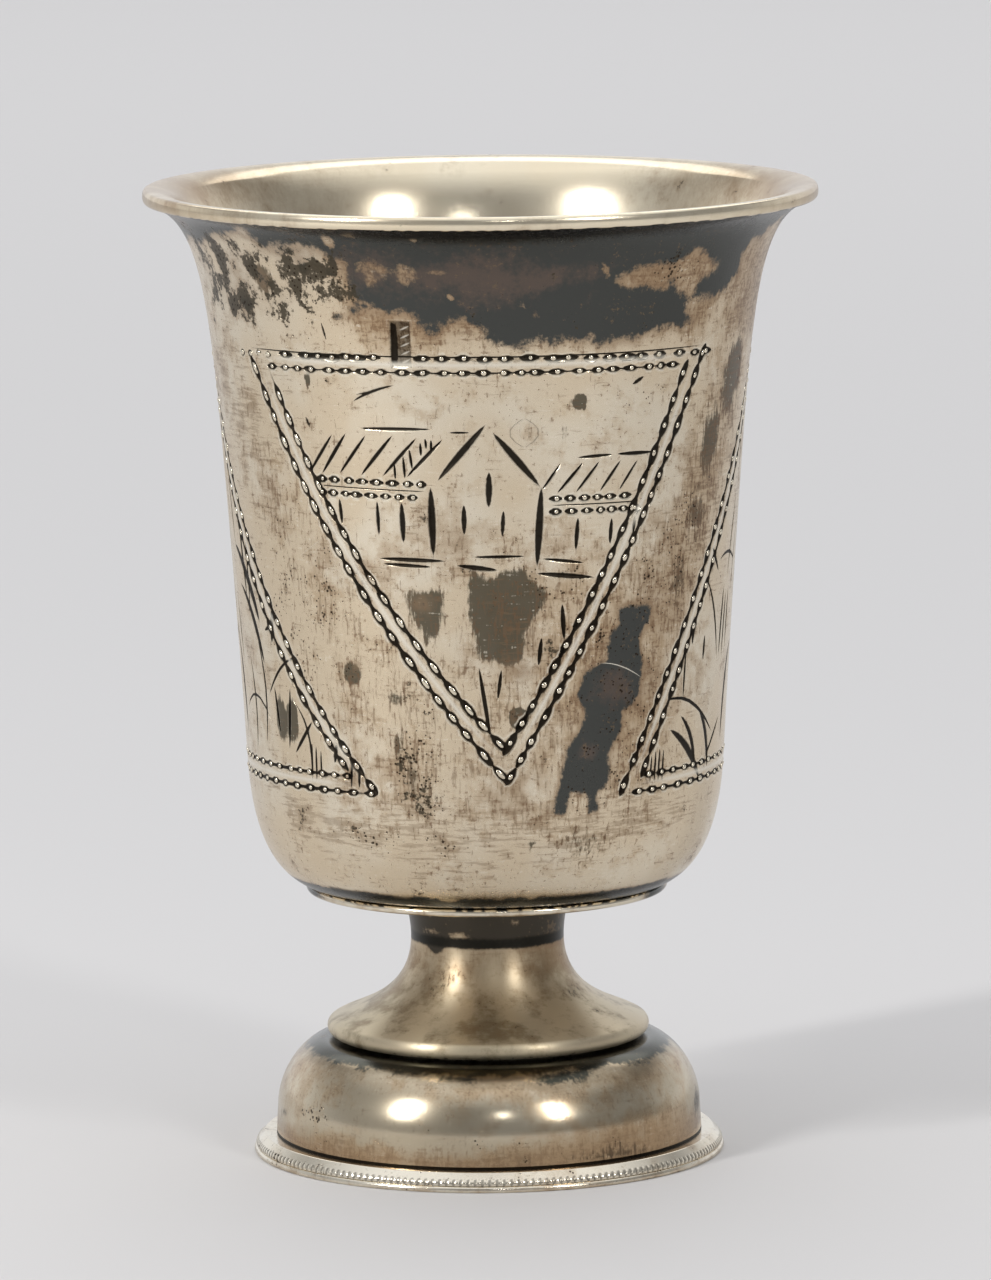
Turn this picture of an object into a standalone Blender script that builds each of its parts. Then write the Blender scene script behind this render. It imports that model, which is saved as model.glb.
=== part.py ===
# Footed silver kiddush cup: an engraved beaker with a turned-out lip on a hollow stem and a domed foot.
# All sizes are in metres, +Z is up, and the cup stands on the plane z = 0 with its axis on z.
import math

import bmesh
import bpy
from mathutils import Vector
from mathutils.geometry import delaunay_2d_cdt

# Fit between pieces that rest on each other
SEAT_GAP = 0.0003

# Foot rim: the flat ring that the cup stands on
RIM_HEIGHT = 0.00185
RIM_PROJECTION = 0.0022
RIM_LEDGE = 0.0006
RIM_TOP_WIDTH = 0.0017
RIM_GROOVE_HEIGHT = 0.0008
RIM_GROOVE_DEPTH = 0.00012
RIM_EDGE_EASE = 0.00015

# Foot dome: a hollow shell with an upright lower wall and a round shoulder
DOME_HEIGHT = 0.00905
DOME_BASE_RADIUS = 0.02090
DOME_WAIST_RADIUS = 0.02075
DOME_WALL_HEIGHT = 0.00255
DOME_WALL = 0.0007
DOME_SEAT_MARGIN = 0.0001
DOME_HOLE_INSET = 0.0034
SHOULDER_SQUARENESS = 1.66

# Stem: a hollow spool that flares into a disc with a rolled edge
STEM_HEIGHT = 0.01415
STEM_WAIST_RADIUS = 0.00762
STEM_WAIST_HEIGHT = 0.0099
STEM_TOP_RADIUS = 0.00835
STEM_WALL = 0.0008
DISC_RADIUS = 0.0158
DISC_ROLL_DEPTH = 0.0008
DISC_EDGE_HEIGHT = 0.0017

# Base plate: the thin disc between stem and bowl
PLATE_RADIUS = 0.0177
PLATE_THICKNESS = 0.0007
PLATE_EDGE_EASE = 0.00012

# Bowl: outside radii at the stations of its outline, and its wall
BOWL_HEIGHT = 0.06805
BOWL_WALL = 0.0007
BOWL_FLOOR = 0.0008
BOWL_FLAT_OVERHANG = 0.0005
BOWL_FOOT_RADIUS = 0.02325
BOWL_CORNER_HEIGHT = 0.01125
BOWL_WAIST_RADIUS = 0.0243
FLARE_RADIUS = 0.02585
FLARE_HEIGHT = 0.04905
LIP_RADIUS = 0.0328
LIP_THICKNESS = 0.00128

# Engraving: four triangular panels, alternately point down and point up
PANEL_TOP_HEIGHT = 0.05475
PANEL_FOOT_HEIGHT = 0.0105
PANEL_SPREAD = math.radians(118.5)
PANEL_LEAN = math.radians(6.5)
FRONT_PANEL_TURN = math.radians(-2.2)
BAND_WIDTH = 0.0023
ROW_WIDTH = 0.0008
CUT_DEPTH = 0.0002
CUT_BELLY = 0.45
PICTURE_LEAN = 0.3
STAMP_WIDTH = 0.0021
STAMP_HEIGHT = 0.0047
STAMP_DEPTH = 0.00018
STAMP_TURN = math.radians(-16.8)
STAMP_RISE = 0.0007

# Facets
BOWL_SIDES = 44
FOOT_SIDES = 40
ROLL_STEPS = 5
SHOULDER_STEPS = 6

# Heights of the seats, from the table up
DOME_BASE = RIM_HEIGHT + SEAT_GAP
STEM_BASE = DOME_BASE + DOME_HEIGHT + SEAT_GAP
PLATE_BASE = STEM_BASE + STEM_HEIGHT + SEAT_GAP
BOWL_BASE = PLATE_BASE + PLATE_THICKNESS + SEAT_GAP

TURN = 2 * math.pi


def curve(start, start_handle, end_handle, end, steps):
    """Points of a smooth outline stretch, without its first point."""
    points = []
    for step in range(1, steps + 1):
        t = step / steps
        weights = ((1 - t) ** 3, 3 * t * (1 - t) ** 2, 3 * t * t * (1 - t), t ** 3)
        corners = (start, start_handle, end_handle, end)
        points.append(tuple(sum(w * c[axis] for w, c in zip(weights, corners)) for axis in (0, 1)))
    return points


def between(low, high, across, up):
    """The point at a share of the way across and up from one outline point to another."""
    return (low[0] + across * (high[0] - low[0]), low[1] + up * (high[1] - low[1]))


def inner_side(outline, wall):
    """The outline moved inwards by the wall's thickness, point by point."""
    moved = []
    for index, (radius, height) in enumerate(outline):
        before = outline[max(index - 1, 0)]
        after = outline[min(index + 1, len(outline) - 1)]
        run = Vector((after[0] - before[0], after[1] - before[1])).normalized()
        moved.append((radius - run.y * wall, height + run.x * wall))
    return moved


def raised(outline, height):
    return [(radius, point_height + height) for radius, point_height in outline]


def ring_point(angle, radius, height):
    """Angle 0 faces -Y, the front of the cup, and grows towards +X."""
    return Vector((radius * math.sin(angle), -radius * math.cos(angle), height))


def add_turned(mesh, outline, sides, closed=False):
    """Turns an outline of (radius, height) points round the axis; a radius of 0 closes it."""
    rings = []
    for radius, height in outline:
        if radius == 0:
            rings.append([mesh.verts.new((0, 0, height))] * sides)
        else:
            angles = (TURN * side / sides - math.pi for side in range(sides))
            rings.append([mesh.verts.new(ring_point(angle, radius, height)) for angle in angles])
    pairs = list(zip(rings, rings[1:]))
    if closed:
        pairs.append((rings[-1], rings[0]))
    for low, high in pairs:
        for side in range(sides):
            following = (side + 1) % sides
            corners = [low[side], low[following], high[following], high[side]]
            mesh.faces.new(list(dict.fromkeys(corners)))


def finish_piece(mesh, name, colour, roughness, sharp_angle):
    """Closes the mesh, points its faces outwards and gives it an object with its metal."""
    bmesh.ops.remove_doubles(mesh, verts=mesh.verts, dist=2e-6)
    bmesh.ops.recalc_face_normals(mesh, faces=mesh.faces)
    data = bpy.data.meshes.new(name)
    mesh.to_mesh(data)
    mesh.free()
    data.shade_smooth()
    data.set_sharp_from_angle(angle=sharp_angle)
    material = bpy.data.materials.new(name + "_silver")
    material.use_nodes = True
    shader = material.node_tree.nodes["Principled BSDF"]
    shader.inputs["Base Color"].default_value = (*colour, 1.0)
    shader.inputs["Metallic"].default_value = 1.0
    shader.inputs["Roughness"].default_value = roughness
    data.materials.append(material)
    piece = bpy.data.objects.new(name, data)
    bpy.context.collection.objects.link(piece)
    return piece


# Outlines


def foot_rim_outline():
    """A flat ring: milled upper edge, a fine groove, then a plain strip down to the table."""
    inner = DOME_BASE_RADIUS - DOME_WALL - RIM_LEDGE
    outer = DOME_BASE_RADIUS + RIM_PROJECTION
    seat = outer - RIM_PROJECTION + RIM_EDGE_EASE
    groove = outer - RIM_GROOVE_DEPTH
    return [
        (inner, 0.0),
        (outer - RIM_EDGE_EASE, 0.0),
        (outer, RIM_EDGE_EASE),
        (outer, RIM_GROOVE_HEIGHT - RIM_GROOVE_DEPTH / 2),
        (groove, RIM_GROOVE_HEIGHT),
        (outer, RIM_GROOVE_HEIGHT + RIM_GROOVE_DEPTH / 2),
        (seat + RIM_TOP_WIDTH, RIM_HEIGHT - RIM_EDGE_EASE),
        (seat, RIM_HEIGHT),
        (inner, RIM_HEIGHT),
    ]


def foot_dome_outline():
    """The outer side from the base up over the shoulder to the seat for the stem's disc."""
    seat = DISC_RADIUS + DOME_SEAT_MARGIN
    reach = DOME_WAIST_RADIUS - seat
    rise = DOME_HEIGHT - DOME_WALL_HEIGHT
    outline = [(DOME_BASE_RADIUS, 0.0)]
    for step in range(SHOULDER_STEPS + 1):
        turn = math.pi / 2 * step / SHOULDER_STEPS
        across = max(0.0, math.cos(turn)) ** (2 / SHOULDER_SQUARENESS)
        up = math.sin(turn) ** (2 / SHOULDER_SQUARENESS)
        outline.append((seat + reach * across, DOME_WALL_HEIGHT + rise * up))
    return outline


def foot_dome_loop():
    outer = foot_dome_outline()
    hole = DISC_RADIUS - DOME_HOLE_INSET
    inner = inner_side(outer, DOME_WALL)[1::2]
    top = [(hole, DOME_HEIGHT), (hole, DOME_HEIGHT - DOME_WALL)]
    base = [(DOME_BASE_RADIUS - DOME_WALL, 0.0)]
    return outer + top + list(reversed(inner)) + base


def stem_outline():
    """The outer side: rolled disc edge, flare, waist, and the collar that widens to the plate."""
    roll = DISC_RADIUS - DISC_ROLL_DEPTH
    outline = []
    for step in range(ROLL_STEPS):
        turn = math.pi * step / ROLL_STEPS - math.pi / 2
        across = DISC_ROLL_DEPTH * math.cos(turn)
        outline.append((roll + across, DISC_EDGE_HEIGHT / 2 * (1 + math.sin(turn))))
    foot = (roll - DISC_ROLL_DEPTH * 0.3, DISC_EDGE_HEIGHT * 1.12)
    waist = (STEM_WAIST_RADIUS, STEM_WAIST_HEIGHT)
    top = (STEM_TOP_RADIUS, STEM_HEIGHT)
    outline.append(foot)
    outline += curve(foot, between(foot, waist, 0.36, 0.16), between(foot, waist, 1.0, 0.36), waist, 6)
    outline += curve(waist, between(waist, top, 0.0, 0.3), between(waist, top, 0.45, 0.8), top, 2)
    return outline


def stem_loop():
    outer = stem_outline()
    flare = outer[ROLL_STEPS:]
    inner = inner_side(flare, STEM_WALL)[::2]
    inner[-1] = (STEM_TOP_RADIUS - STEM_WALL, STEM_HEIGHT)
    inner[0] = (inner[0][0], 0.0)
    return outer + list(reversed(inner))


def base_plate_outline():
    edge = PLATE_RADIUS - PLATE_EDGE_EASE
    return [
        (0, 0.0),
        (edge, 0.0),
        (PLATE_RADIUS, PLATE_EDGE_EASE),
        (PLATE_RADIUS, PLATE_THICKNESS - PLATE_EDGE_EASE),
        (edge, PLATE_THICKNESS),
        (0, PLATE_THICKNESS),
    ]


def bowl_outline():
    """The outer side from the flat bottom up to the underside of the lip."""
    flat = (PLATE_RADIUS + BOWL_FLAT_OVERHANG, 0.0)
    foot = (BOWL_FOOT_RADIUS, BOWL_CORNER_HEIGHT)
    flare = (FLARE_RADIUS, FLARE_HEIGHT)
    lip = (LIP_RADIUS - LIP_THICKNESS * 0.15, BOWL_HEIGHT - LIP_THICKNESS)
    waist = (BOWL_WAIST_RADIUS, (BOWL_CORNER_HEIGHT + FLARE_HEIGHT) / 2)
    outline = [flat]
    outline += curve(flat, between(flat, foot, 0.74, 0.165), between(flat, foot, 0.93, 0.627), foot, 5)
    outline += curve(foot, between(foot, waist, 2 / 3, 2 / 3), between(flare, waist, 2 / 3, 2 / 3), flare, 3)
    outline += curve(flare, between(flare, lip, 0.16, 0.576), between(flare, lip, 0.304, 0.948), lip, 4)
    return outline


def bowl_lip_and_inside(outline):
    """From the lip's underside over its crest and down the inner side to the middle of the floor."""
    lip_edge = [
        outline[-1],
        (LIP_RADIUS, BOWL_HEIGHT - LIP_THICKNESS * 0.5),
        (LIP_RADIUS - LIP_THICKNESS * 0.08, BOWL_HEIGHT - LIP_THICKNESS * 0.2),
        (LIP_RADIUS - LIP_THICKNESS * 0.35, BOWL_HEIGHT),
        (LIP_RADIUS - LIP_THICKNESS * 0.85, BOWL_HEIGHT - LIP_THICKNESS * 0.1),
    ]
    flare_inside = list(reversed(inner_side(outline, BOWL_WALL)[1:-1:2]))
    corner_inside = (flare_inside[-1][0] * 0.86, BOWL_FLOOR * 1.5)
    floor = [(flare_inside[-1][0] * 0.7, BOWL_FLOOR), (0, BOWL_FLOOR)]
    return lip_edge + flare_inside + [corner_inside] + floor


# Engraving, drawn on the bowl's unrolled outer side: across is the distance round the waist, and
# up is the height over the bowl's bottom. Pictures are drawn in shares of the panel's height.
ROUND = TURN * BOWL_WAIST_RADIUS
PANEL_UNITS = 44.25
POINT_GAP = 1.1
PANEL_UNIT = (PANEL_TOP_HEIGHT - PANEL_FOOT_HEIGHT) / PANEL_UNITS


def lens(start, end, width):
    """One cut of a pointed graver: widest and deepest before its middle, and pointed at both ends."""
    start, end = Vector(start), Vector(end)
    along = (end - start).normalized()
    side = Vector((-along.y, along.x)) * width / 2
    middle = start.lerp(end, CUT_BELLY)
    points = [start, middle + side, end, middle - side, middle]
    edges = [(0, 1), (1, 2), (2, 3), (3, 0), (0, 4), (4, 2)]
    length = (end - start).length

    def cut(point):
        offset = point - start
        share = offset.dot(along) / length
        if not 0.0 < share < 1.0:
            return 0.0
        fullness = min(share / CUT_BELLY, (1.0 - share) / (1.0 - CUT_BELLY))
        away = abs(offset.dot(side.normalized()))
        return CUT_DEPTH * max(0.0, fullness - away * 2 / width)

    return points, edges, cut


def inset(corners, distance):
    """A triangle's corners moved inwards, so that each side moves by the distance."""
    moved = []
    lengths = [(corners[(i + 1) % 3] - corners[(i + 2) % 3]).length for i in range(3)]
    incentre = sum((corner * length for corner, length in zip(corners, lengths)), Vector((0, 0)))
    incentre /= sum(lengths)
    first, second = corners[1] - corners[0], corners[2] - corners[0]
    area = abs(first.x * second.y - first.y * second.x) / 2
    inradius = 2 * area / sum(lengths)
    for corner in corners:
        moved.append(corner.lerp(incentre, distance / inradius))
    return moved


def row_cut(corners, distance):
    """A V-shaped row that follows a triangle's three sides at a distance inside its outline."""
    points, edges = [], []
    for shift in (-0.5, 0.0, 0.5):
        first = len(points)
        points += inset(corners, distance + shift * ROW_WIDTH)
        edges += [(first, first + 1), (first + 1, first + 2), (first + 2, first)]
    line = points[3:6]

    def cut(point):
        nearest = min(distance_to_side(point, line[i], line[(i + 1) % 3]) for i in range(3))
        return CUT_DEPTH * max(0.0, 1.0 - nearest * 2 / ROW_WIDTH)

    return points, edges, cut


def distance_to_side(point, start, end):
    along = end - start
    share = max(0.0, min(1.0, (point - start).dot(along) / along.length_squared))
    return (point - start - along * share).length


def stamp_cut():
    """A small sunk rectangle beside the front panel's top band, left bare."""
    across = BOWL_WAIST_RADIUS * STAMP_TURN
    up = PANEL_TOP_HEIGHT + STAMP_RISE
    half_width, half_height, slope = STAMP_WIDTH / 2, STAMP_HEIGHT / 2, STAMP_DEPTH

    def frame(grow):
        signs = ((-1, -1), (1, -1), (1, 1), (-1, 1))
        return [Vector((across + sx * (half_width + grow), up + sz * (half_height + grow))) for sx, sz in signs]

    points = frame(0) + frame(-slope)
    edges = [(base + i, base + (i + 1) % 4) for base in (0, 4) for i in range(4)]

    def cut(point):
        inside = min(half_width - abs(point.x - across), half_height - abs(point.y - up))
        return STAMP_DEPTH * max(0.0, min(1.0, inside / slope))

    return points, edges, cut


def village_cuts(across, up):
    """Two long houses with slanted roof strokes beside a gabled one, over ground lines and grass."""
    u = PANEL_UNIT

    def stroke(x0, z0, x1, z1, width):
        return lens((across + x0 * u, up + z0 * u), (across + x1 * u, up + z1 * u), width * u)

    cuts = [stroke(0.9, 37.2, -4.4, 31.7, 0.75), stroke(0.8, 37.2, 5.5, 31.1, 0.85)]
    cuts += [stroke(side, 31.0, side + 0.1, 24.0, 0.9) for side in (-4.9, 5.5)]
    cuts += [stroke(x, top, x, top - 3.1, 0.65) for x, top in ((0.6, 32.6), (-1.8, 29.3), (1.9, 28.6))]
    houses = (
        {"ridge": -14.4, "length": 9.9, "top": 36.0, "drop": 4.0, "step": 2.15, "strokes": 6},
        {"ridge": 8.6, "length": 9.2, "top": 33.6, "drop": 2.9, "step": 1.95, "strokes": 5},
    )
    for house in houses:
        ridge, top, drop = house["ridge"], house["top"], house["drop"]
        end = ridge + house["length"]
        eave = top - drop - 0.5
        cuts.append(stroke(ridge + 1.4, top + 0.5, end, top + 0.4, 0.4))
        for index in range(house["strokes"]):
            x = ridge + index * house["step"]
            cuts.append(stroke(x, top - 0.3, x - drop * 0.78, top - drop, 0.45))
        cuts.append(stroke(ridge - 2.4, eave, end - 0.8, eave - 0.1, 0.6))
        cuts.append(stroke(ridge - 2.4, eave - 1.4, end - 0.8, eave - 1.5, 0.6))
        for share in (0.15, 0.45, 0.75):
            x = ridge - 1.6 + share * house["length"]
            cuts.append(stroke(x, eave - 2.2, x, eave - 5.2, 0.55))
    for x, z, length, width in ((-7.0, 24.2, 6.0, 0.55), (0.8, 24.0, 6.5, 0.5), (8.0, 22.4, 5.4, 0.75)):
        cuts.append(stroke(x - length / 2, z, x + length / 2, z - 0.3, width))
    for x, z, length in ((0.0, 13.8, 6.6), (1.5, 13.4, 2.9), (5.4, 16.2, 2.4), (7.7, 19.3, 2.9)):
        cuts.append(stroke(x - 0.3, z, x + 0.2, z - length, 0.5))
    return cuts


def foliage_cuts(across, up):
    """A tall plant with long leaves in pairs, low blades beside it and a hatched clod at each corner."""
    u = PANEL_UNIT

    def stroke(x0, z0, x1, z1, width):
        return lens((across + x0 * u, up + z0 * u), (across + x1 * u, up + z1 * u), width * u)

    cuts = [stroke(0.4, 30.0, -0.4, 4.0, 0.6)]
    for side in (-1, 1):
        for pair in range(3):
            root, reach = 20.5 - 5.2 * pair, 5.0 + 1.9 * pair
            cuts.append(stroke(side * 0.9, root, side * reach, root + 3.6 - 2.6 * pair, 0.85))
        cuts.append(stroke(side * 8.3, 13.8, side * 17.6, 5.8, 0.5))
        for blade in range(3):
            foot = 11.0 + 2.6 * blade
            cuts.append(stroke(side * foot, 9.0 - 1.4 * blade, side * (foot + 2.4), 3.4, 0.95))
    return cuts


def panel_cuts(turn, lean, points_down):
    """One panel: a triangle with two rows of cuts along its band, and its picture."""
    across = BOWL_WAIST_RADIUS * turn
    half = BOWL_WAIST_RADIUS * PANEL_SPREAD / 2
    tip = across + BOWL_WAIST_RADIUS * lean
    point_gap = POINT_GAP * PANEL_UNIT
    if points_down:
        base, point = PANEL_TOP_HEIGHT, PANEL_FOOT_HEIGHT + point_gap
    else:
        base, point = PANEL_FOOT_HEIGHT, PANEL_TOP_HEIGHT - point_gap
    corners = [Vector((across - half, base)), Vector((across + half, base)), Vector((tip, point))]
    margin = ROW_WIDTH * 0.56
    cuts = [row_cut(corners, margin), row_cut(corners, BAND_WIDTH - margin)]
    picture = village_cuts if points_down else foliage_cuts
    return cuts + picture(across + BOWL_WAIST_RADIUS * lean * PICTURE_LEAN, PANEL_FOOT_HEIGHT)


def engraving():
    quarter = TURN / 4
    cuts = [stamp_cut()]
    cuts += panel_cuts(FRONT_PANEL_TURN, PANEL_LEAN, True)
    cuts += panel_cuts(FRONT_PANEL_TURN + quarter, 0.0, False)
    cuts += panel_cuts(FRONT_PANEL_TURN + 2 * quarter, PANEL_LEAN, True)
    cuts += panel_cuts(FRONT_PANEL_TURN - quarter + PANEL_LEAN, -PANEL_LEAN, False)
    return cuts


def add_engraved_wall(mesh, outline, cuts):
    """The outer side as one sheet: upright facets, crossed by every cut, rolled round the outline."""
    lengths = [0.0]
    for low, high in zip(outline, outline[1:]):
        lengths.append(lengths[-1] + math.hypot(high[0] - low[0], high[1] - low[1]))

    def station(value, values):
        index = 0
        while index < len(values) - 2 and value > values[index + 1]:
            index += 1
        return index, (value - values[index]) / (values[index + 1] - values[index])

    heights = [height for _, height in outline]

    def to_length(height):
        index, share = station(height, heights)
        return lengths[index] + share * (lengths[index + 1] - lengths[index])

    points, edges = [], []
    for side in range(BOWL_SIDES + 1):
        for index, length in enumerate(lengths):
            if index:
                edges.append((len(points) - 1, len(points)))
            points.append(Vector((ROUND * side / BOWL_SIDES, length)))
    placed = []
    for cut_points, cut_edges, cut in cuts:
        for lap in (-ROUND / 2, ROUND / 2, ROUND * 1.5):
            if all(not 0 < point.x + lap < ROUND for point in cut_points):
                continue
            first = len(points)
            points += [Vector((point.x + lap, to_length(point.y))) for point in cut_points]
            edges += [(first + a, first + b) for a, b in cut_edges]
            low = min(point.x for point in cut_points) + lap
            high = max(point.x for point in cut_points) + lap
            placed.append((low, high, lap, cut))
    result = delaunay_2d_cdt(points, edges, [], 0, 1e-7)
    sheet, faces = result[0], result[2]
    verts = {}

    def vertex(index):
        if index in verts:
            return verts[index]
        across, length = sheet[index]
        place, share = station(length, lengths)
        low, high = outline[place], outline[place + 1]
        radius, height = between(low, high, share, share)
        depth = 0.0
        for start, end, lap, cut in placed:
            if start <= across <= end:
                depth = max(depth, cut(Vector((across - lap, height))))
        run = Vector((high[0] - low[0], high[1] - low[1])).normalized()
        angle = across / BOWL_WAIST_RADIUS - math.pi
        verts[index] = mesh.verts.new(ring_point(angle, radius - run.y * depth, height + run.x * depth))
        return verts[index]

    for face in faces:
        middle = sum(sheet[index].x for index in face) / len(face)
        if 0 < middle < ROUND:
            mesh.faces.new([vertex(index) for index in face])


# Pieces


def make_foot_rim():
    mesh = bmesh.new()
    add_turned(mesh, foot_rim_outline(), FOOT_SIDES, closed=True)
    return finish_piece(mesh, "foot_rim", (0.72, 0.69, 0.62), 0.3, math.radians(30))


def make_foot_dome():
    mesh = bmesh.new()
    add_turned(mesh, raised(foot_dome_loop(), DOME_BASE), FOOT_SIDES, closed=True)
    return finish_piece(mesh, "foot_dome", (0.52, 0.47, 0.38), 0.28, math.radians(35))


def make_stem():
    mesh = bmesh.new()
    add_turned(mesh, raised(stem_loop(), STEM_BASE), FOOT_SIDES, closed=True)
    return finish_piece(mesh, "stem", (0.42, 0.37, 0.29), 0.28, math.radians(40))


def make_base_plate():
    mesh = bmesh.new()
    add_turned(mesh, raised(base_plate_outline(), PLATE_BASE), FOOT_SIDES)
    return finish_piece(mesh, "bowl_base_plate", (0.68, 0.62, 0.5), 0.3, math.radians(30))


def make_bowl():
    mesh = bmesh.new()
    outline = bowl_outline()
    add_engraved_wall(mesh, outline, engraving())
    add_turned(mesh, bowl_lip_and_inside(outline), BOWL_SIDES)
    add_turned(mesh, [(0, 0.0), outline[0]], BOWL_SIDES)
    bmesh.ops.translate(mesh, verts=mesh.verts, vec=(0, 0, BOWL_BASE))
    return finish_piece(mesh, "bowl", (0.56, 0.5, 0.4), 0.3, math.radians(30))


def main():
    for leftover in list(bpy.data.objects):
        bpy.data.objects.remove(leftover, do_unlink=True)
    make_foot_rim()
    make_foot_dome()
    make_stem()
    make_base_plate()
    make_bowl()


main()
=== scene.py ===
import math
import random

import bmesh
import bpy
import numpy as np
from mathutils import Matrix, Vector
from mathutils.geometry import delaunay_2d_cdt


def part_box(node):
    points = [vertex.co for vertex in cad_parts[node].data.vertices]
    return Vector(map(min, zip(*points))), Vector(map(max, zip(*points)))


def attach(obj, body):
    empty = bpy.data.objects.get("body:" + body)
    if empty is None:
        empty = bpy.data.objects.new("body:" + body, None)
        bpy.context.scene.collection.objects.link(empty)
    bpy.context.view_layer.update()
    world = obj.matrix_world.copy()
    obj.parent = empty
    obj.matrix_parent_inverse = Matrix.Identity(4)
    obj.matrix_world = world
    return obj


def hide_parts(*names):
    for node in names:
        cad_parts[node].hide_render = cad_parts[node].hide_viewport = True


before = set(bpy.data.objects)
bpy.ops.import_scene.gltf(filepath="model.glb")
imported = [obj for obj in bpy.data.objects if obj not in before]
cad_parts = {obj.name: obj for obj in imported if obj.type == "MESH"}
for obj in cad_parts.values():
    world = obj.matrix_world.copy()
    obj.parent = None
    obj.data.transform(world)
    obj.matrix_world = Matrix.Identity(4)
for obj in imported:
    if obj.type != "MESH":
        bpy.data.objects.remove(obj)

# A footed silver cup with an engraved bowl. Blender works in metres, and the tables below are in
# millimetres and degrees. Angle 0 is the side that faces the camera, and angles grow to the right.
mm = 0.001
turn = 2 * math.pi
weldDistance = 0.002
tiny, farAway = 1e-6, 1e9
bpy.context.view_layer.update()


# Small helpers

def linear(hexColour):
    parts = [int(hexColour[i:i + 2], 16) / 255 for i in (1, 3, 5)]
    return tuple(p / 12.92 if p <= 0.04045 else ((p + 0.055) / 1.055) ** 2.4 for p in parts) + (1.0,)


def addNode(tree, kind, inputs=(), **settings):
    # adds a node with its settings and links, and gives back its first output in use
    node = tree.nodes.new(kind)
    for name, value in settings.items():
        setattr(node, name, value)
    for label, value in dict(inputs).items():
        live = [socket for socket in node.inputs if socket.enabled]
        socket = live[label] if isinstance(label, int) else next(s for s in live if s.name == label)
        if isinstance(value, bpy.types.NodeSocket):
            tree.links.new(value, socket)
        else:
            socket.default_value = value
    return next((socket for socket in node.outputs if socket.enabled), node)


def bend(start, firstHandle, lastHandle, end, steps):
    # a smooth stretch of an outline, without its first point
    points = []
    for step in range(1, steps + 1):
        t = step / steps
        weights = ((1 - t) ** 3, 3 * t * (1 - t) ** 2, 3 * t * t * (1 - t), t ** 3)
        corners = (start, firstHandle, lastHandle, end)
        points.append(tuple(sum(w * c[axis] for w, c in zip(weights, corners)) for axis in (0, 1)))
    return points


def between(low, high, across, up):
    return (low[0] + across * (high[0] - low[0]), low[1] + up * (high[1] - low[1]))


def innerSide(outline, wall):
    # the outline moved inwards by the wall's thickness
    moved = []
    for index, (radius, height) in enumerate(outline):
        before = outline[max(index - 1, 0)]
        after = outline[min(index + 1, len(outline) - 1)]
        run = Vector((after[0] - before[0], after[1] - before[1])).normalized()
        moved.append((radius - run.y * wall, height + run.x * wall))
    return moved


def raised(outline, height):
    return [(radius, up + height) for radius, up in outline]


def base(node):
    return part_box(node)[0].z / mm


def meshObject(name, data):
    piece = bpy.data.objects.new(name, data)
    bpy.context.scene.collection.objects.link(piece)
    return piece


def settled(piece):
    # the finished shape of a piece with a Geometry Nodes modifier, as a plain mesh
    shape = piece.evaluated_get(bpy.context.evaluated_depsgraph_get())
    data = bpy.data.meshes.new_from_object(shape)
    data.name = piece.name
    piece.modifiers.clear()
    piece.data = data
    return piece


def setInputs(modifier, values):
    for item in modifier.node_group.interface.items_tree:
        if item.item_type == "SOCKET" and item.in_out == "INPUT" and item.name in values:
            modifier[item.identifier] = values[item.name]


def cylinderPlaces(data):
    # each vertex as angle in degrees, radius and height in millimetres
    places = np.empty(len(data.vertices) * 3)
    data.vertices.foreach_get("co", places)
    x, y, z = places.reshape(-1, 3).T / mm
    return np.degrees(np.arctan2(x, -y)), np.hypot(x, y), z


def storeValues(data, **columns):
    for name, values in columns.items():
        attribute = data.attributes.get(name) or data.attributes.new(name, "FLOAT", "POINT")
        attribute.data.foreach_set("value", np.asarray(values, np.float32))


def readValues(data, name):
    values = np.zeros(len(data.vertices), np.float32)
    if name in data.attributes:
        data.attributes[name].data.foreach_get("value", values)
    return values


# Stains are placed on the wall: 0.5 on the edge of a stain, 1 well inside it, 0 well outside.
# Soft is how far an edge fades, and a stain that clears takes off what the ones before it put there.

def spot(angle, height, width, tall, soft=1.5, strength=1, lean=0, clears=False):
    return {"at": (angle, height), "size": (width, tall), "lean": lean, "soft": soft, "strength": strength,
            "clears": clears}


def ring(low, high, soft=1.5, strength=1):
    return {"band": (low, high), "soft": soft, "strength": strength, "clears": False}


def blot(outline, soft=1.5, strength=1, clears=False):
    return {"outline": outline, "soft": soft, "strength": strength, "clears": clears}


def wrapped(angle):
    return (angle + 180) % 360 - 180


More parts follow.
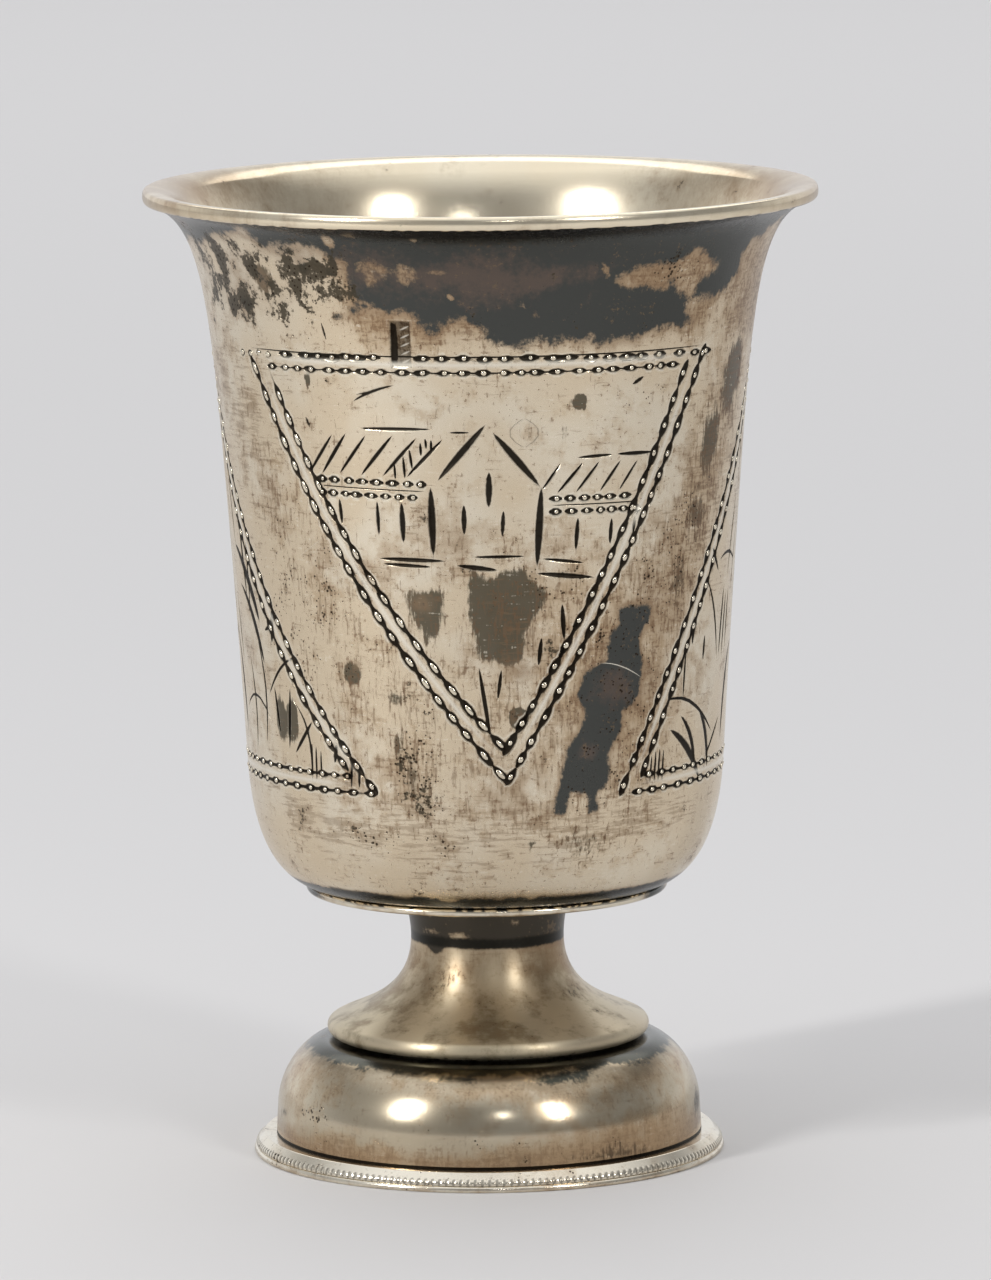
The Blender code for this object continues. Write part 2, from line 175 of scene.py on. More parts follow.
def stainField(angle, height, stain, reach):
    if "outline" in stain:
        nothing = 1e-9
        corners = np.array(stain["outline"], float)
        middle = corners[:, 0].mean()
        x = np.radians(wrapped(angle - middle)) * reach
        px, py = np.radians(corners[:, 0] - middle) * reach, corners[:, 1]
        nearest = np.full(len(x), farAway)
        inside = np.zeros(len(x), bool)
        for ax, ay, bx, by in zip(px, py, np.roll(px, -1), np.roll(py, -1)):
            dx, dy = bx - ax, by - ay
            share = np.clip(((x - ax) * dx + (height - ay) * dy) / (dx * dx + dy * dy + nothing), 0, 1)
            nearest = np.minimum(nearest, np.hypot(x - ax - share * dx, height - ay - share * dy))
            crosses = (ay > height) != (by > height)
            inside ^= crosses & (x < ax + (height - ay) * dx / (dy if dy else nothing))
        signed = np.where(inside, nearest, -nearest)
    elif "band" in stain:
        low, high = stain["band"]
        signed = (high - low) / 2 - np.abs(height - (low + high) / 2)
    else:
        width, tall = stain["size"]
        lean = math.radians(stain["lean"])
        x = np.radians(wrapped(angle - stain["at"][0])) * reach
        y = height - stain["at"][1]
        u, v = x * math.cos(lean) + y * math.sin(lean), y * math.cos(lean) - x * math.sin(lean)
        signed = (1 - np.hypot(u / (width / 2), v / (tall / 2))) * min(width, tall) / 2
    return np.clip(0.5 + signed / (2 * stain["soft"]), 0, 1) * stain["strength"]


def stainValues(angle, height, stains, reach):
    value = np.zeros(len(angle))
    for stain in stains:
        field = stainField(angle, height, stain, reach)
        value = np.minimum(value, 1 - field) if stain["clears"] else np.maximum(value, field)
    return value


def paint(data, stains, reach, where=1.0):
    angle, _, height = cylinderPlaces(data)
    for name, places in stains.items():
        storeValues(data, **{name: stainValues(angle, height, places, reach) * where})


# Geometry Nodes: a shell turned from an outline, and small things set out on a surface

def newTree(name, sockets):
    tree = bpy.data.node_groups.new(name, "GeometryNodeTree")
    tree.interface.new_socket("Geometry", in_out="OUTPUT", socket_type="NodeSocketGeometry")
    for label, kind in sockets:
        tree.interface.new_socket(label, in_out="INPUT", socket_type=kind)
    return tree, tree.nodes.new("NodeGroupInput").outputs


def latheTree():
    # the outline's points have their distance from the axis in X; milled ones get a row of notches
    tree, given = newTree("turned shell", (
        ("Outline", "NodeSocketGeometry"), ("Sides", "NodeSocketInt"), ("Notches", "NodeSocketFloat"),
        ("Notch Depth", "NodeSocketFloat"), ("Material", "NodeSocketMaterial")))
    count = addNode(tree, "GeometryNodeAttributeDomainSize", {0: given["Outline"]}, component="MESH")
    columns = addNode(tree, "ShaderNodeMath", {0: given["Sides"], 1: 1.0}, operation="ADD")
    grid = addNode(tree, "GeometryNodeMeshGrid", {
        "Size X": 1.0, "Size Y": 1.0, "Vertices X": columns, "Vertices Y": count})
    place = addNode(tree, "GeometryNodeInputPosition")
    split = addNode(tree, "ShaderNodeSeparateXYZ", {0: place}).node.outputs
    last = addNode(tree, "ShaderNodeMath", {0: count, 1: 1.0}, operation="SUBTRACT")
    along = addNode(tree, "ShaderNodeMath", {0: split["Y"], 1: 0.5}, operation="ADD")
    row = addNode(tree, "ShaderNodeMath", {0: along, 1: last}, operation="MULTIPLY")
    whole = addNode(tree, "ShaderNodeMath", {0: row}, operation="ROUND")
    point = addNode(tree, "GeometryNodeSampleIndex", {
        "Geometry": given["Outline"], "Value": place, "Index": whole},
        data_type="FLOAT_VECTOR", domain="POINT")
    flag = addNode(tree, "GeometryNodeInputNamedAttribute", {"Name": "milled"}, data_type="FLOAT")
    milled = addNode(tree, "GeometryNodeSampleIndex", {
        "Geometry": given["Outline"], "Value": flag, "Index": whole}, data_type="FLOAT", domain="POINT")
    pointSplit = addNode(tree, "ShaderNodeSeparateXYZ", {0: point}).node.outputs
    angle = addNode(tree, "ShaderNodeMath", {0: split["X"], 1: turn}, operation="MULTIPLY")
    phase = addNode(tree, "ShaderNodeMath", {0: angle, 1: given["Notches"]}, operation="MULTIPLY")
    wave = addNode(tree, "ShaderNodeMath", {0: phase}, operation="COSINE")
    notch = addNode(tree, "ShaderNodeMath", {0: wave, 1: 0.0}, operation="MAXIMUM")
    pressed = addNode(tree, "ShaderNodeMath", {0: notch, 1: milled}, operation="MULTIPLY")
    depth = addNode(tree, "ShaderNodeMath", {0: pressed, 1: given["Notch Depth"]}, operation="MULTIPLY")
    radius = addNode(tree, "ShaderNodeMath", {0: pointSplit["X"], 1: depth}, operation="SUBTRACT")
    sine = addNode(tree, "ShaderNodeMath", {0: angle}, operation="SINE")
    cosine = addNode(tree, "ShaderNodeMath", {0: angle}, operation="COSINE")
    x = addNode(tree, "ShaderNodeMath", {0: sine, 1: radius}, operation="MULTIPLY")
    y = addNode(tree, "ShaderNodeMath", {0: cosine, 1: radius}, operation="MULTIPLY")
    back = addNode(tree, "ShaderNodeMath", {0: y, 1: -1.0}, operation="MULTIPLY")
    turned = addNode(tree, "ShaderNodeCombineXYZ", {"X": x, "Y": back, "Z": pointSplit["Z"]})
    dirty = addNode(tree, "GeometryNodeStoreNamedAttribute", {
        "Geometry": grid, "Name": "cut", "Value": pressed}, data_type="FLOAT", domain="POINT")
    shell = addNode(tree, "GeometryNodeSetPosition", {"Geometry": dirty, "Position": turned})
    closed = addNode(tree, "GeometryNodeMergeByDistance", {
        "Geometry": shell, "Distance": weldDistance * mm})
    real = addNode(tree, "GeometryNodeRealizeInstances", {"Geometry": closed})
    painted = addNode(tree, "GeometryNodeSetMaterial", {"Geometry": real, "Material": given["Material"]})
    addNode(tree, "NodeGroupOutput", {0: painted})
    return tree


def studTree():
    # small domed studs, one on each point, lying along the point's own direction
    tree, given = newTree("set studs", (
        ("Points", "NodeSocketGeometry"), ("Length", "NodeSocketFloat"), ("Width", "NodeSocketFloat"),
        ("Height", "NodeSocketFloat"), ("Uneven", "NodeSocketFloat"), ("Seed", "NodeSocketInt"),
        ("Material", "NodeSocketMaterial")))
    stud = addNode(tree, "GeometryNodeMeshUVSphere", {"Segments": 8, "Rings": 6, "Radius": 0.5})
    outward = addNode(tree, "GeometryNodeInputNamedAttribute", {"Name": "outward"},
                      data_type="FLOAT_VECTOR")
    along = addNode(tree, "GeometryNodeInputNamedAttribute", {"Name": "alongRow"}, data_type="FLOAT_VECTOR")
    stretch = addNode(tree, "GeometryNodeInputNamedAttribute", {"Name": "stretch"}, data_type="FLOAT")
    upright = addNode(tree, "FunctionNodeAlignEulerToVector", {"Vector": outward}, axis="Z")
    aimed = addNode(tree, "FunctionNodeAlignEulerToVector", {
        "Rotation": upright, "Vector": along}, axis="X", pivot_axis="Z")
    least = addNode(tree, "ShaderNodeMath", {0: 1.0, 1: given["Uneven"]}, operation="SUBTRACT")
    most = addNode(tree, "ShaderNodeMath", {0: 1.0, 1: given["Uneven"]}, operation="ADD")
    vary = addNode(tree, "FunctionNodeRandomValue", {
        "Min": least, "Max": most, "Seed": given["Seed"]}, data_type="FLOAT")
    long = addNode(tree, "ShaderNodeMath", {0: given["Length"], 1: stretch}, operation="MULTIPLY")
    size = addNode(tree, "ShaderNodeCombineXYZ", {"X": long, "Y": given["Width"], "Z": given["Height"]})
    varied = addNode(tree, "ShaderNodeVectorMath", {0: size, "Scale": vary}, operation="SCALE")
    studs = addNode(tree, "GeometryNodeInstanceOnPoints", {
        "Points": given["Points"], "Instance": stud, "Rotation": aimed, "Scale": varied})
    real = addNode(tree, "GeometryNodeRealizeInstances", {"Geometry": studs})
    painted = addNode(tree, "GeometryNodeSetMaterial", {"Geometry": real, "Material": given["Material"]})
    addNode(tree, "NodeGroupOutput", {0: painted})
    return tree


trees = {"lathe": latheTree(), "studs": studTree()}


def turnShell(name, outline, sides, material, milled=None, notches=0, notchDepth=0.0):
    # outline in millimetres, turned round the axis
    data = bpy.data.meshes.new(name)
    points = [(radius * mm, 0, height * mm) for radius, height in outline]
    data.from_pydata(points, [(i, i + 1) for i in range(len(points) - 1)], [])
    if milled:
        storeValues(data, milled=milled)
    piece = meshObject(name, data)
    modifier = piece.modifiers.new("turned", "NODES")
    modifier.node_group = trees["lathe"]
    setInputs(modifier, {
        "Sides": sides, "Notches": float(notches), "Notch Depth": notchDepth * mm, "Material": material})
    return settled(piece)


def setStuds(name, rows, look, material):
    # rows hold place, outward direction, direction along the row, and stretch of each stud
    data = bpy.data.meshes.new(name)
    data.from_pydata([row[0] for row in rows], [], [])
    for label, column in (("outward", 1), ("alongRow", 2)):
        attribute = data.attributes.new(label, "FLOAT_VECTOR", "POINT")
        values = np.array([tuple(row[column]) for row in rows], np.float32)
        attribute.data.foreach_set("vector", values.ravel())
    storeValues(data, stretch=[row[3] for row in rows])
    piece = meshObject(name, data)
    modifier = piece.modifiers.new("studs", "NODES")
    modifier.node_group = trees["studs"]
    setInputs(modifier, {
        "Length": look["length"] * mm, "Width": look["width"] * mm, "Height": look["height"] * mm,
        "Uneven": look["uneven"], "Seed": look["seed"], "Material": material})
    settled(piece)
    piece.data.shade_smooth()
    return piece


def closeShell(piece, sharpAngle):
    mesh = bmesh.new()
    mesh.from_mesh(piece.data)
    bmesh.ops.remove_doubles(mesh, verts=mesh.verts, dist=weldDistance * mm)
    bmesh.ops.recalc_face_normals(mesh, faces=mesh.faces)
    mesh.to_mesh(piece.data)
    mesh.free()
    piece.data.shade_smooth()
    piece.data.set_sharp_from_angle(angle=math.radians(sharpAngle))


# Materials

# Worn sterling silver, hand-raised, then rubbed with polishing cloths for a century: it reflects the
# room softly in a warm cream. A film of silver sulphide turns it tan, then olive, then charcoal, and
# grime stays in the cuts. Sizes are in millimetres along one patch of the pattern.
silverPatterns = {
    "broad": {"size": 11, "detail": 2.0, "rough": 0.5, "seed": 3.0},
    "patch": {"size": 2.4, "detail": 5.0, "rough": 0.62, "seed": 11.0},
    "grain": {"size": 0.42, "detail": 4.0, "rough": 0.7, "seed": 5.0},
    "upright": {"size": 0.3, "stretch": (1, 1, 7), "detail": 4.0, "rough": 0.65, "seed": 7.0},
    "around": {"size": 0.3, "stretch": (9, 9, 1), "detail": 4.0, "rough": 0.65, "seed": 9.0},
}

speckSpacing = 0.42

# From the metal outwards. The sum of the named patterns and listed values turns a coat from none
# to full between two limits. Gloss is added to the roughness, relief is in millimetres.
silverCoats = {
    "clean": {"sum": {"broad": 1.0, "haze": -0.25},
        "limits": (-0.12, 0.12), "colour": "#e6dcc8", "amount": 0.8},
    "inside": {"sum": {"polish": 1.0, "patch": 0.4},
        "limits": (0.3, 1.2), "colour": "#f2e5c9", "amount": 0.75, "gloss": -0.11},
    "toning": {"sum": {"patch": 1.0, "broad": 0.8, "haze": 0.2, "polish": -0.25},
        "limits": (-0.02, 0.22), "colour": "#b99d78", "amount": 0.4},
    "haze": {"sum": {"haze": 1.0, "patch": 0.9, "upright": 0.35, "broad": 0.7},
        "limits": (0.1, 1.0), "colour": "#a88d6d", "amount": 0.85, "gloss": 0.03},
    "film": {"sum": {"film": 1.0, "patch": 0.9, "upright": 0.9, "grain": 0.3},
        "limits": (0.38, 0.62), "colour": "#575143", "amount": 0.92, "gloss": 0.07, "relief": -0.003},
    "wiped": {"sum": {"around": 1.0, "patch": 0.5, "lined": 0.14, "haze": 0.08, "polish": -0.3},
        "limits": (0.09, 0.22), "colour": "#8a745c", "amount": 0.42, "gloss": 0.05, "relief": -0.003},
    "streaks": {"sum": {"upright": 1.0, "patch": 0.4, "streaky": 0.12, "haze": 0.08, "polish": -0.3},
        "limits": (0.1, 0.24), "colour": "#7f6852", "amount": 0.5, "gloss": 0.06, "relief": -0.003},
    "mottle": {"sum": {"grain": 1.0, "upright": 0.4, "around": 0.3, "patch": 0.3, "haze": 0.16,
                       "polish": -0.3},
        "limits": (0.12, 0.19), "colour": "#7d6048", "amount": 0.52, "gloss": 0.06, "relief": -0.004},
    "scuffs": {"sum": {"around": -1.0, "upright": -0.7, "polish": -0.3},
        "limits": (0.14, 0.24), "colour": "#efe5d0", "amount": 0.5, "gloss": -0.03},
    "halo": {"sum": {"tarnish": 1.0, "patch": 0.7, "broad": 0.9},
        "limits": (0.06, 0.5), "colour": "#9a8166", "amount": 0.65},
    "tarnish": {"sum": {"tarnish": 1.0, "patch": 0.9, "grain": 0.45, "upright": 0.15},
        "limits": (0.38, 0.62), "colour": "#4d4e4b", "amount": 1.0, "relief": -0.004},
    "bloom": {"sum": {"plum": 0.6, "tarnish": 0.3, "patch": 1.3, "broad": 0.7, "grain": 0.5},
        "limits": (0.44, 0.9), "colour": "#685c54", "amount": 0.9},
    "flecks": {"sum": {"tarnish": 0.3, "grain": 0.9, "patch": 0.5, "broad": 0.3},
        "limits": (0.36, 0.43), "colour": "#7b6a55", "amount": 0.6},
    # shade is painted shade: a near-black laid where shadow falls under the lip, round the bowl's foot and
    # on the stem, and over the hearts of two stains
    "shade": {"sum": {"shade": 1.0, "patch": 0.5, "grain": 0.3},
        "limits": (0.25, 0.75), "colour": "#2a2925", "amount": 0.92},
    "flakes": {"sum": {"flakes": 0.22, "patch": 1.0, "grain": 0.35},
        "limits": (0.19, 0.25), "colour": "#4c463a", "amount": 0.92, "gloss": 0.1, "relief": -0.008},
    "specks": {"sum": {"specks": 0.3, "patch": 0.9, "dots": -0.85, "grain": 0.4, "polish": -0.2},
        "limits": (0.0, 0.05), "colour": "#33291f", "amount": 0.9, "gloss": 0.15, "relief": -0.012},
    "grime": {"sum": {"cut": 1.0, "grain": 0.2},
        "limits": (0.03, 0.36), "colour": "#15110d", "amount": 0.97, "gloss": 0.25},
    # rubbed brightens the outlines of cuts: rubbed wear, and a painted highlight along each edge
    "rubbed": {"sum": {"edge": 1.0, "grain": 0.4},
        "limits": (0.5, 1.1), "colour": "#efe6d2", "amount": 0.8, "gloss": -0.03},
    "bright": {"sum": {"bright": 1.0},
        "limits": (0.0, 1.0), "colour": "#efe8d8", "amount": 0.9, "gloss": -0.04},
}


def agedSilver(name, look):
    material = bpy.data.materials.new(name)
    material.use_nodes = True
    tree = material.node_tree
    shader = tree.nodes["Principled BSDF"]
    shader.inputs["Metallic"].default_value = 1.0
    # lines left by spinning draw a light's image out upwards
    shader.inputs["Anisotropic"].default_value = look.get("spun", 0.0)
    shader.inputs["Anisotropic Rotation"].default_value = 0.25
    place = addNode(tree, "ShaderNodeTexCoord").node.outputs["Object"]
    maps = {"dots": addNode(tree, "ShaderNodeTexVoronoi", {
        "Vector": place, "Scale": 1 / (speckSpacing * mm)}, feature="F1")}
    for label, pattern in silverPatterns.items():
        seed, stretch = pattern["seed"], pattern.get("stretch", (1, 1, 1))
        scale = tuple(1 / (pattern["size"] * mm * share) for share in stretch)
        scaled = addNode(tree, "ShaderNodeMapping", {
            "Vector": place, "Location": (seed, seed * 0.7, -seed), "Scale": scale})
        maps[label] = addNode(tree, "ShaderNodeTexNoise", {
            "Vector": scaled, "Scale": 1.0, "Detail": pattern["detail"], "Roughness": pattern["rough"]})
    # noises swing round a half, so that half is taken off the sum
    colour, gloss, relief = linear(look["metal"]), look["roughness"], 0.0
    for label, coat in silverCoats.items():
        total = -0.5 * sum(weight for key, weight in coat["sum"].items() if key in silverPatterns)
        for key, weight in coat["sum"].items():
            if key not in maps:
                maps[key] = addNode(tree, "ShaderNodeAttribute", attribute_name=key).node.outputs["Fac"]
            total = addNode(tree, "ShaderNodeMath", {
                0: maps[key], 1: weight, 2: total}, operation="MULTIPLY_ADD")
        low, high = coat["limits"]
        share = addNode(tree, "ShaderNodeMapRange", {
            "Value": total, "From Min": low, "From Max": high,
            "To Max": look.get("amounts", {}).get(label, coat["amount"])}, interpolation_type="SMOOTHSTEP")
        tint = linear(look.get("colours", {}).get(label, coat["colour"]))
        colour = addNode(tree, "ShaderNodeMix", {"Factor": share, "A": colour, "B": tint}, data_type="RGBA")
        if "gloss" in coat:
            gloss = addNode(tree, "ShaderNodeMath", {
                0: share, 1: coat["gloss"], 2: gloss}, operation="MULTIPLY_ADD")
        if "relief" in coat:
            relief = addNode(tree, "ShaderNodeMath", {
                0: share, 1: coat["relief"], 2: relief}, operation="MULTIPLY_ADD")
    tree.links.new(colour, shader.inputs["Base Color"])
    tree.links.new(gloss, shader.inputs["Roughness"])
    # hammer waves left by raising, and fine wiping lines
    for label, height in (("broad", look["waves"]), ("upright", look["lines"]), ("around", look["lines"])):
        relief = addNode(tree, "ShaderNodeMath", {
            0: maps[label], 1: height, 2: relief}, operation="MULTIPLY_ADD")
    bump = addNode(tree, "ShaderNodeBump", {"Height": relief, "Distance": mm, "Strength": 1.0})
    tree.links.new(bump, shader.inputs["Normal"])
    return material


# Bowl

bowlShape = {
    "height": 68.05, "wall": 0.7, "floor": 0.8, "flat": 18.2, "foot": (23.25, 11.25), "waist": 24.3,
    "flare": (25.85, 49.05), "lip": (32.61, 66.77), "lipWidth": 32.8, "shoulder": (29.42, 67.0),
    "throat": (26.17, 57.0), "crest": 0.45, "lipRound": 0.62, "sharpAngle": 40,
    # handles of the two bends as shares of the way across and up, and the sheet's own grid
    "bottomBend": ((0.74, 0.165), (0.93, 0.627)), "lipBend": ((0.16, 0.576), (0.304, 0.948)),
    "bendSteps": 60, "columns": 300, "rowHeight": 0.5,
    # the rubbed cut edges are wear and also a painted highlight
    "edgeWearAndHighlight": ((0.15, 1.0), (0.08, 0.72)),  # edges of cuts past each depth are rubbed by this share
}


def bowlOutline():
    shape = bowlShape
    flat, foot, flare, lip = (shape["flat"], 0.0), shape["foot"], shape["flare"], shape["lip"]
    waist = (shape["waist"], (foot[1] + flare[1]) / 2)
    bottom = [between(flat, foot, *handle) for handle in shape["bottomBend"]]
    side = [between(end, waist, 2 / 3, 2 / 3) for end in (foot, flare)]
    top = [between(flare, lip, *handle) for handle in shape["lipBend"]]
    outline = [flat]
    for start, handles, end in ((flat, bottom, foot), (foot, side, flare), (flare, top, lip)):
        outline += bend(start, *handles, end, shape["bendSteps"])
    return outline


class Wall:
    # the outer side as a flat sheet: across is the distance round the waist, up the length of the outline
    def __init__(self):
        self.outline = bowlOutline()
        radii, heights = (np.array(c) for c in zip(*self.outline))
        self.radii, self.heights = radii, heights + base("bowl")
        steps = np.hypot(np.diff(radii), np.diff(heights))
        self.lengths = np.concatenate([[0], np.cumsum(steps)])
        self.around = turn * bowlShape["waist"]

    def onSheet(self, angle, height):
        up = float(np.interp(height, self.heights, self.lengths))
        return Vector((math.radians(angle) * bowlShape["waist"], up))

    def lift(self, across, up, depth=0.0):
        # places and outward directions of points on the sheet
        radius, height = np.interp(up, self.lengths, self.radii), np.interp(up, self.lengths, self.heights)
        step = 0.25
        low, high = np.clip(up - step, 0, self.lengths[-1]), np.clip(up + step, 0, self.lengths[-1])
        runR = np.interp(high, self.lengths, self.radii) - np.interp(low, self.lengths, self.radii)
        runZ = np.interp(high, self.lengths, self.heights) - np.interp(low, self.lengths, self.heights)
        size = np.hypot(runR, runZ)
        outR, outZ = runZ / size, -runR / size
        angle = across / bowlShape["waist"]
        sine, cosine = np.sin(angle), np.cos(angle)
        r, z = radius - outR * depth, height - outZ * depth
        places = np.stack([r * sine, -r * cosine, z], -1) * mm
        outward = np.stack([outR * sine, -outR * cosine, outZ], -1)
        return places, outward


wall = Wall()


# Engraving: each cut gives its outline on the sheet, and for any place how deep it is there as a share,
# and how far inside the cut it lies. Grime of -1 is a clean bright scratch.

def walkPath(path, distance):
    for low, high in zip(path, path[1:]):
        length = (high - low).length
        if distance <= length:
            return low.lerp(high, distance / length), (high - low).normalized()
        distance -= length
    return path[-1], (path[-1] - path[-2]).normalized()


def pathLength(path):
    return sum((b - a).length for a, b in zip(path, path[1:]))


# a stroke's outline has a point near each end and one at every step; entry is how steeply it goes in
strokeShape = {"nearEnds": (0.1, 0.9), "step": 0.8, "entry": 2.4}


def strokeCut(path, width, depth, grime=1.0, blunt=0.6):
    # one push of the graver: pointed at both ends, V-shaped across
    total = pathLength(path)
    steps = max(3, math.ceil(total / strokeShape["step"]))
    even = {round(step / steps, 3) for step in range(1, steps)}
    shares = sorted({0.0, *strokeShape["nearEnds"], 1.0} | even)
    stops = [walkPath(path, share * total) for share in shares]

    def half(share):
        return width / 2 * np.sin(np.pi * np.clip(share, 0, 1)) ** blunt

    sides = [Vector((-along.y, along.x)) * float(half(share)) for share, (_, along) in zip(shares, stops)]
    loop = [stop + side for (stop, _), side in zip(stops, sides)]
    loop += [stop - side for (stop, _), side in reversed(list(zip(stops, sides))[1:-1])]
    middle = [stop for stop, _ in stops[1:-1]]
    edges = [(i, (i + 1) % len(loop)) for i in range(len(loop))]
    edges += [(len(loop) + i, len(loop) + i + 1) for i in range(len(middle) - 1)]

    def press(x, y):
        nearest, share, run = np.full(np.shape(x), farAway), np.zeros(np.shape(x)), 0.0
        for a, b in zip(path, path[1:]):
            dx, dy = b.x - a.x, b.y - a.y
            length = math.hypot(dx, dy)
            t = np.clip(((x - a.x) * dx + (y - a.y) * dy) / length ** 2, 0, 1)
            gap = np.hypot(x - a.x - t * dx, y - a.y - t * dy)
            closer = gap < nearest
            nearest = np.where(closer, gap, nearest)
            share = np.where(closer, (run + t * length) / total, share)
            run += length
        inside = half(share) - nearest
        ends = np.clip(strokeShape["entry"] * np.sin(np.pi * share), 0, 1)
        return np.clip(inside / (half(share) + tiny), 0, 1) * ends, inside

    return {"points": loop + middle, "edges": edges, "press": press, "depth": depth, "grime": grime}


def sunkPlate(left, right, low, high, depth, grime, slope=0.22):
    # a punch's flat recess with sloping sides
    corners = [Vector(p) for p in ((left, low), (right, low), (right, high), (left, high))]
    inner = [Vector(p) for p in ((left + slope, low + slope), (right - slope, low + slope),
                                 (right - slope, high - slope), (left + slope, high - slope))]
    edges = [(i, (i + 1) % 4) for i in range(4)] + [(4 + i, 4 + (i + 1) % 4) for i in range(4)]

    def press(x, y):
        inside = np.minimum(np.minimum(x - left, right - x), np.minimum(y - low, high - y))
        return np.clip(inside / slope, 0, 1), inside

    return {"points": corners + inner, "edges": edges, "press": press, "depth": depth, "grime": grime}


# Four triangular panels, point down in front and at the back, point up at the sides. Each side of a
# triangle is two rows of pits; corners are angle and height, and sag is how far a side bows.
panelLook = {
    "rows": (0.75, 2.3), "pitDepth": 0.17, "flatPitch": 1.95, "flatPit": 1.75, "flatWidth": 1.0,
    "slantPitch": 2.35, "slantPit": 2.5, "slantWidth": 1.12, "lineWidth": 0.46, "lineDepth": 0.12,
    "lineBlunt": 0.08, "innerPitch": 0.85, "innerSize": 0.9, "seed": 4,
    "front": {"corners": ((-61.4, 81.7), (57.0, 81.7), (5.3, 38.5)),
              "sags": (0.2, 1.0, 1.9), "beads": (1.2, 2.2)},
    "right": {"corners": ((146.0, 37.6), (30.7, 37.4), (88.3, 81.2)),
              "sags": (0.0, 0.6, -0.8), "beads": (1.1, 1.3)},
    "back": {"corners": ((118.4, 81.7), (236.8, 81.7), (185.0, 38.5)),
             "sags": (0.2, 1.0, 1.9), "beads": (1.2, 2.2)},
    "left": {"corners": ((-23.4, 37.8), (-142.0, 37.6), (-88.0, 81.2)),
             "sags": (0.0, -0.6, -2.0), "beads": (1.1, 1.5)},
    # the front panel's top row: angles of its pits, and the bow of the row; the first few are short
    "frontTop": (-60.5, -57.3, -54.0, -50.7, -45.2, -39.6, -36.1, -32.7, -29.4, -26.4, -22.9, -12.4, -8.2,
                 -3.9, 0.6, 4.9, 9.8, 14.9, 18.3, 23.2, 27.4, 31.6, 35.2, 40.0, 45.7, 50.7, 54.6),
    "topHeight": 81.0, "topBow": 0.0002, "topMiddle": -5, "shortBefore": -50, "shortPit": 0.85,
    "topStray": 0.08, "topLength": (0.85, 1.15), "topWidth": (0.9, 1.05),
    "baseLine": {"left": 0.9, "right": 0.7, "front": 0.4, "back": 0.4},
    "stripWidth": 0.9, "stripShine": 0.85, "stripBlunt": 0.05,
}

# The scenes inside the panels: the back repeats the front and each side repeats its half in a mirror,
# straying by so many degrees
sceneLook = {
    "boldness": 1.14, "villageDepth": 0.14, "backTurn": 179.8, "backStray": 0.8, "foliageDepth": 0.11,
    "foliageGrime": 0.9, "mirrors": (-84.5, 88.3), "mirrorStray": 0.7, "grimeSpread": (0.75, 1.0),
    "curveSteps": 6, "seed": 8,
}

# how far the hand strays from pit to pit, as shares and radians; a row starts and stops short of its ends
handLook = {
    "firstPit": 0.4, "lastPit": 0.25, "step": (0.82, 1.22), "turn": 0.06, "longest": 1.12,
    "length": (0.9, 1.05), "width": (0.88, 1.1), "bead": (0.88, 1.15), "beadShift": 0.12,
}

# an old rectangular punch mark, worn to a dark side and slanting ridges
stampLook = {
    "angles": (-19.3, -14.3), "heights": (80.0, 84.7), "depth": 0.13, "grime": 0.24,
    "side": (0.42, 0.1), "sideWidth": 0.8, "sideDepth": 0.17, "sideGrime": 0.8,
    "sideBlunt": 0.15, "ridges": (0.1, 0.27, 0.44, 0.61, 0.78), "ridgeStart": 1.0,
    "ridgeRun": (0.9, 0.45), "ridgeWidth": 0.34, "ridgeShine": 0.75,
}

# each roof ends in two rows of small beads with a fine line between them
eavesLook = {
    "roofs": ((-38.6, -12.2, (69.0, 67.7)), (14.6, 36.6, (67.35, 66.1))), "fall": 0.15,
    "pitch": 1.36, "width": 0.96, "bead": 0.85, "lineWidth": 0.16, "lineDepth": 0.05,
    "lineBlunt": 0.1,
}

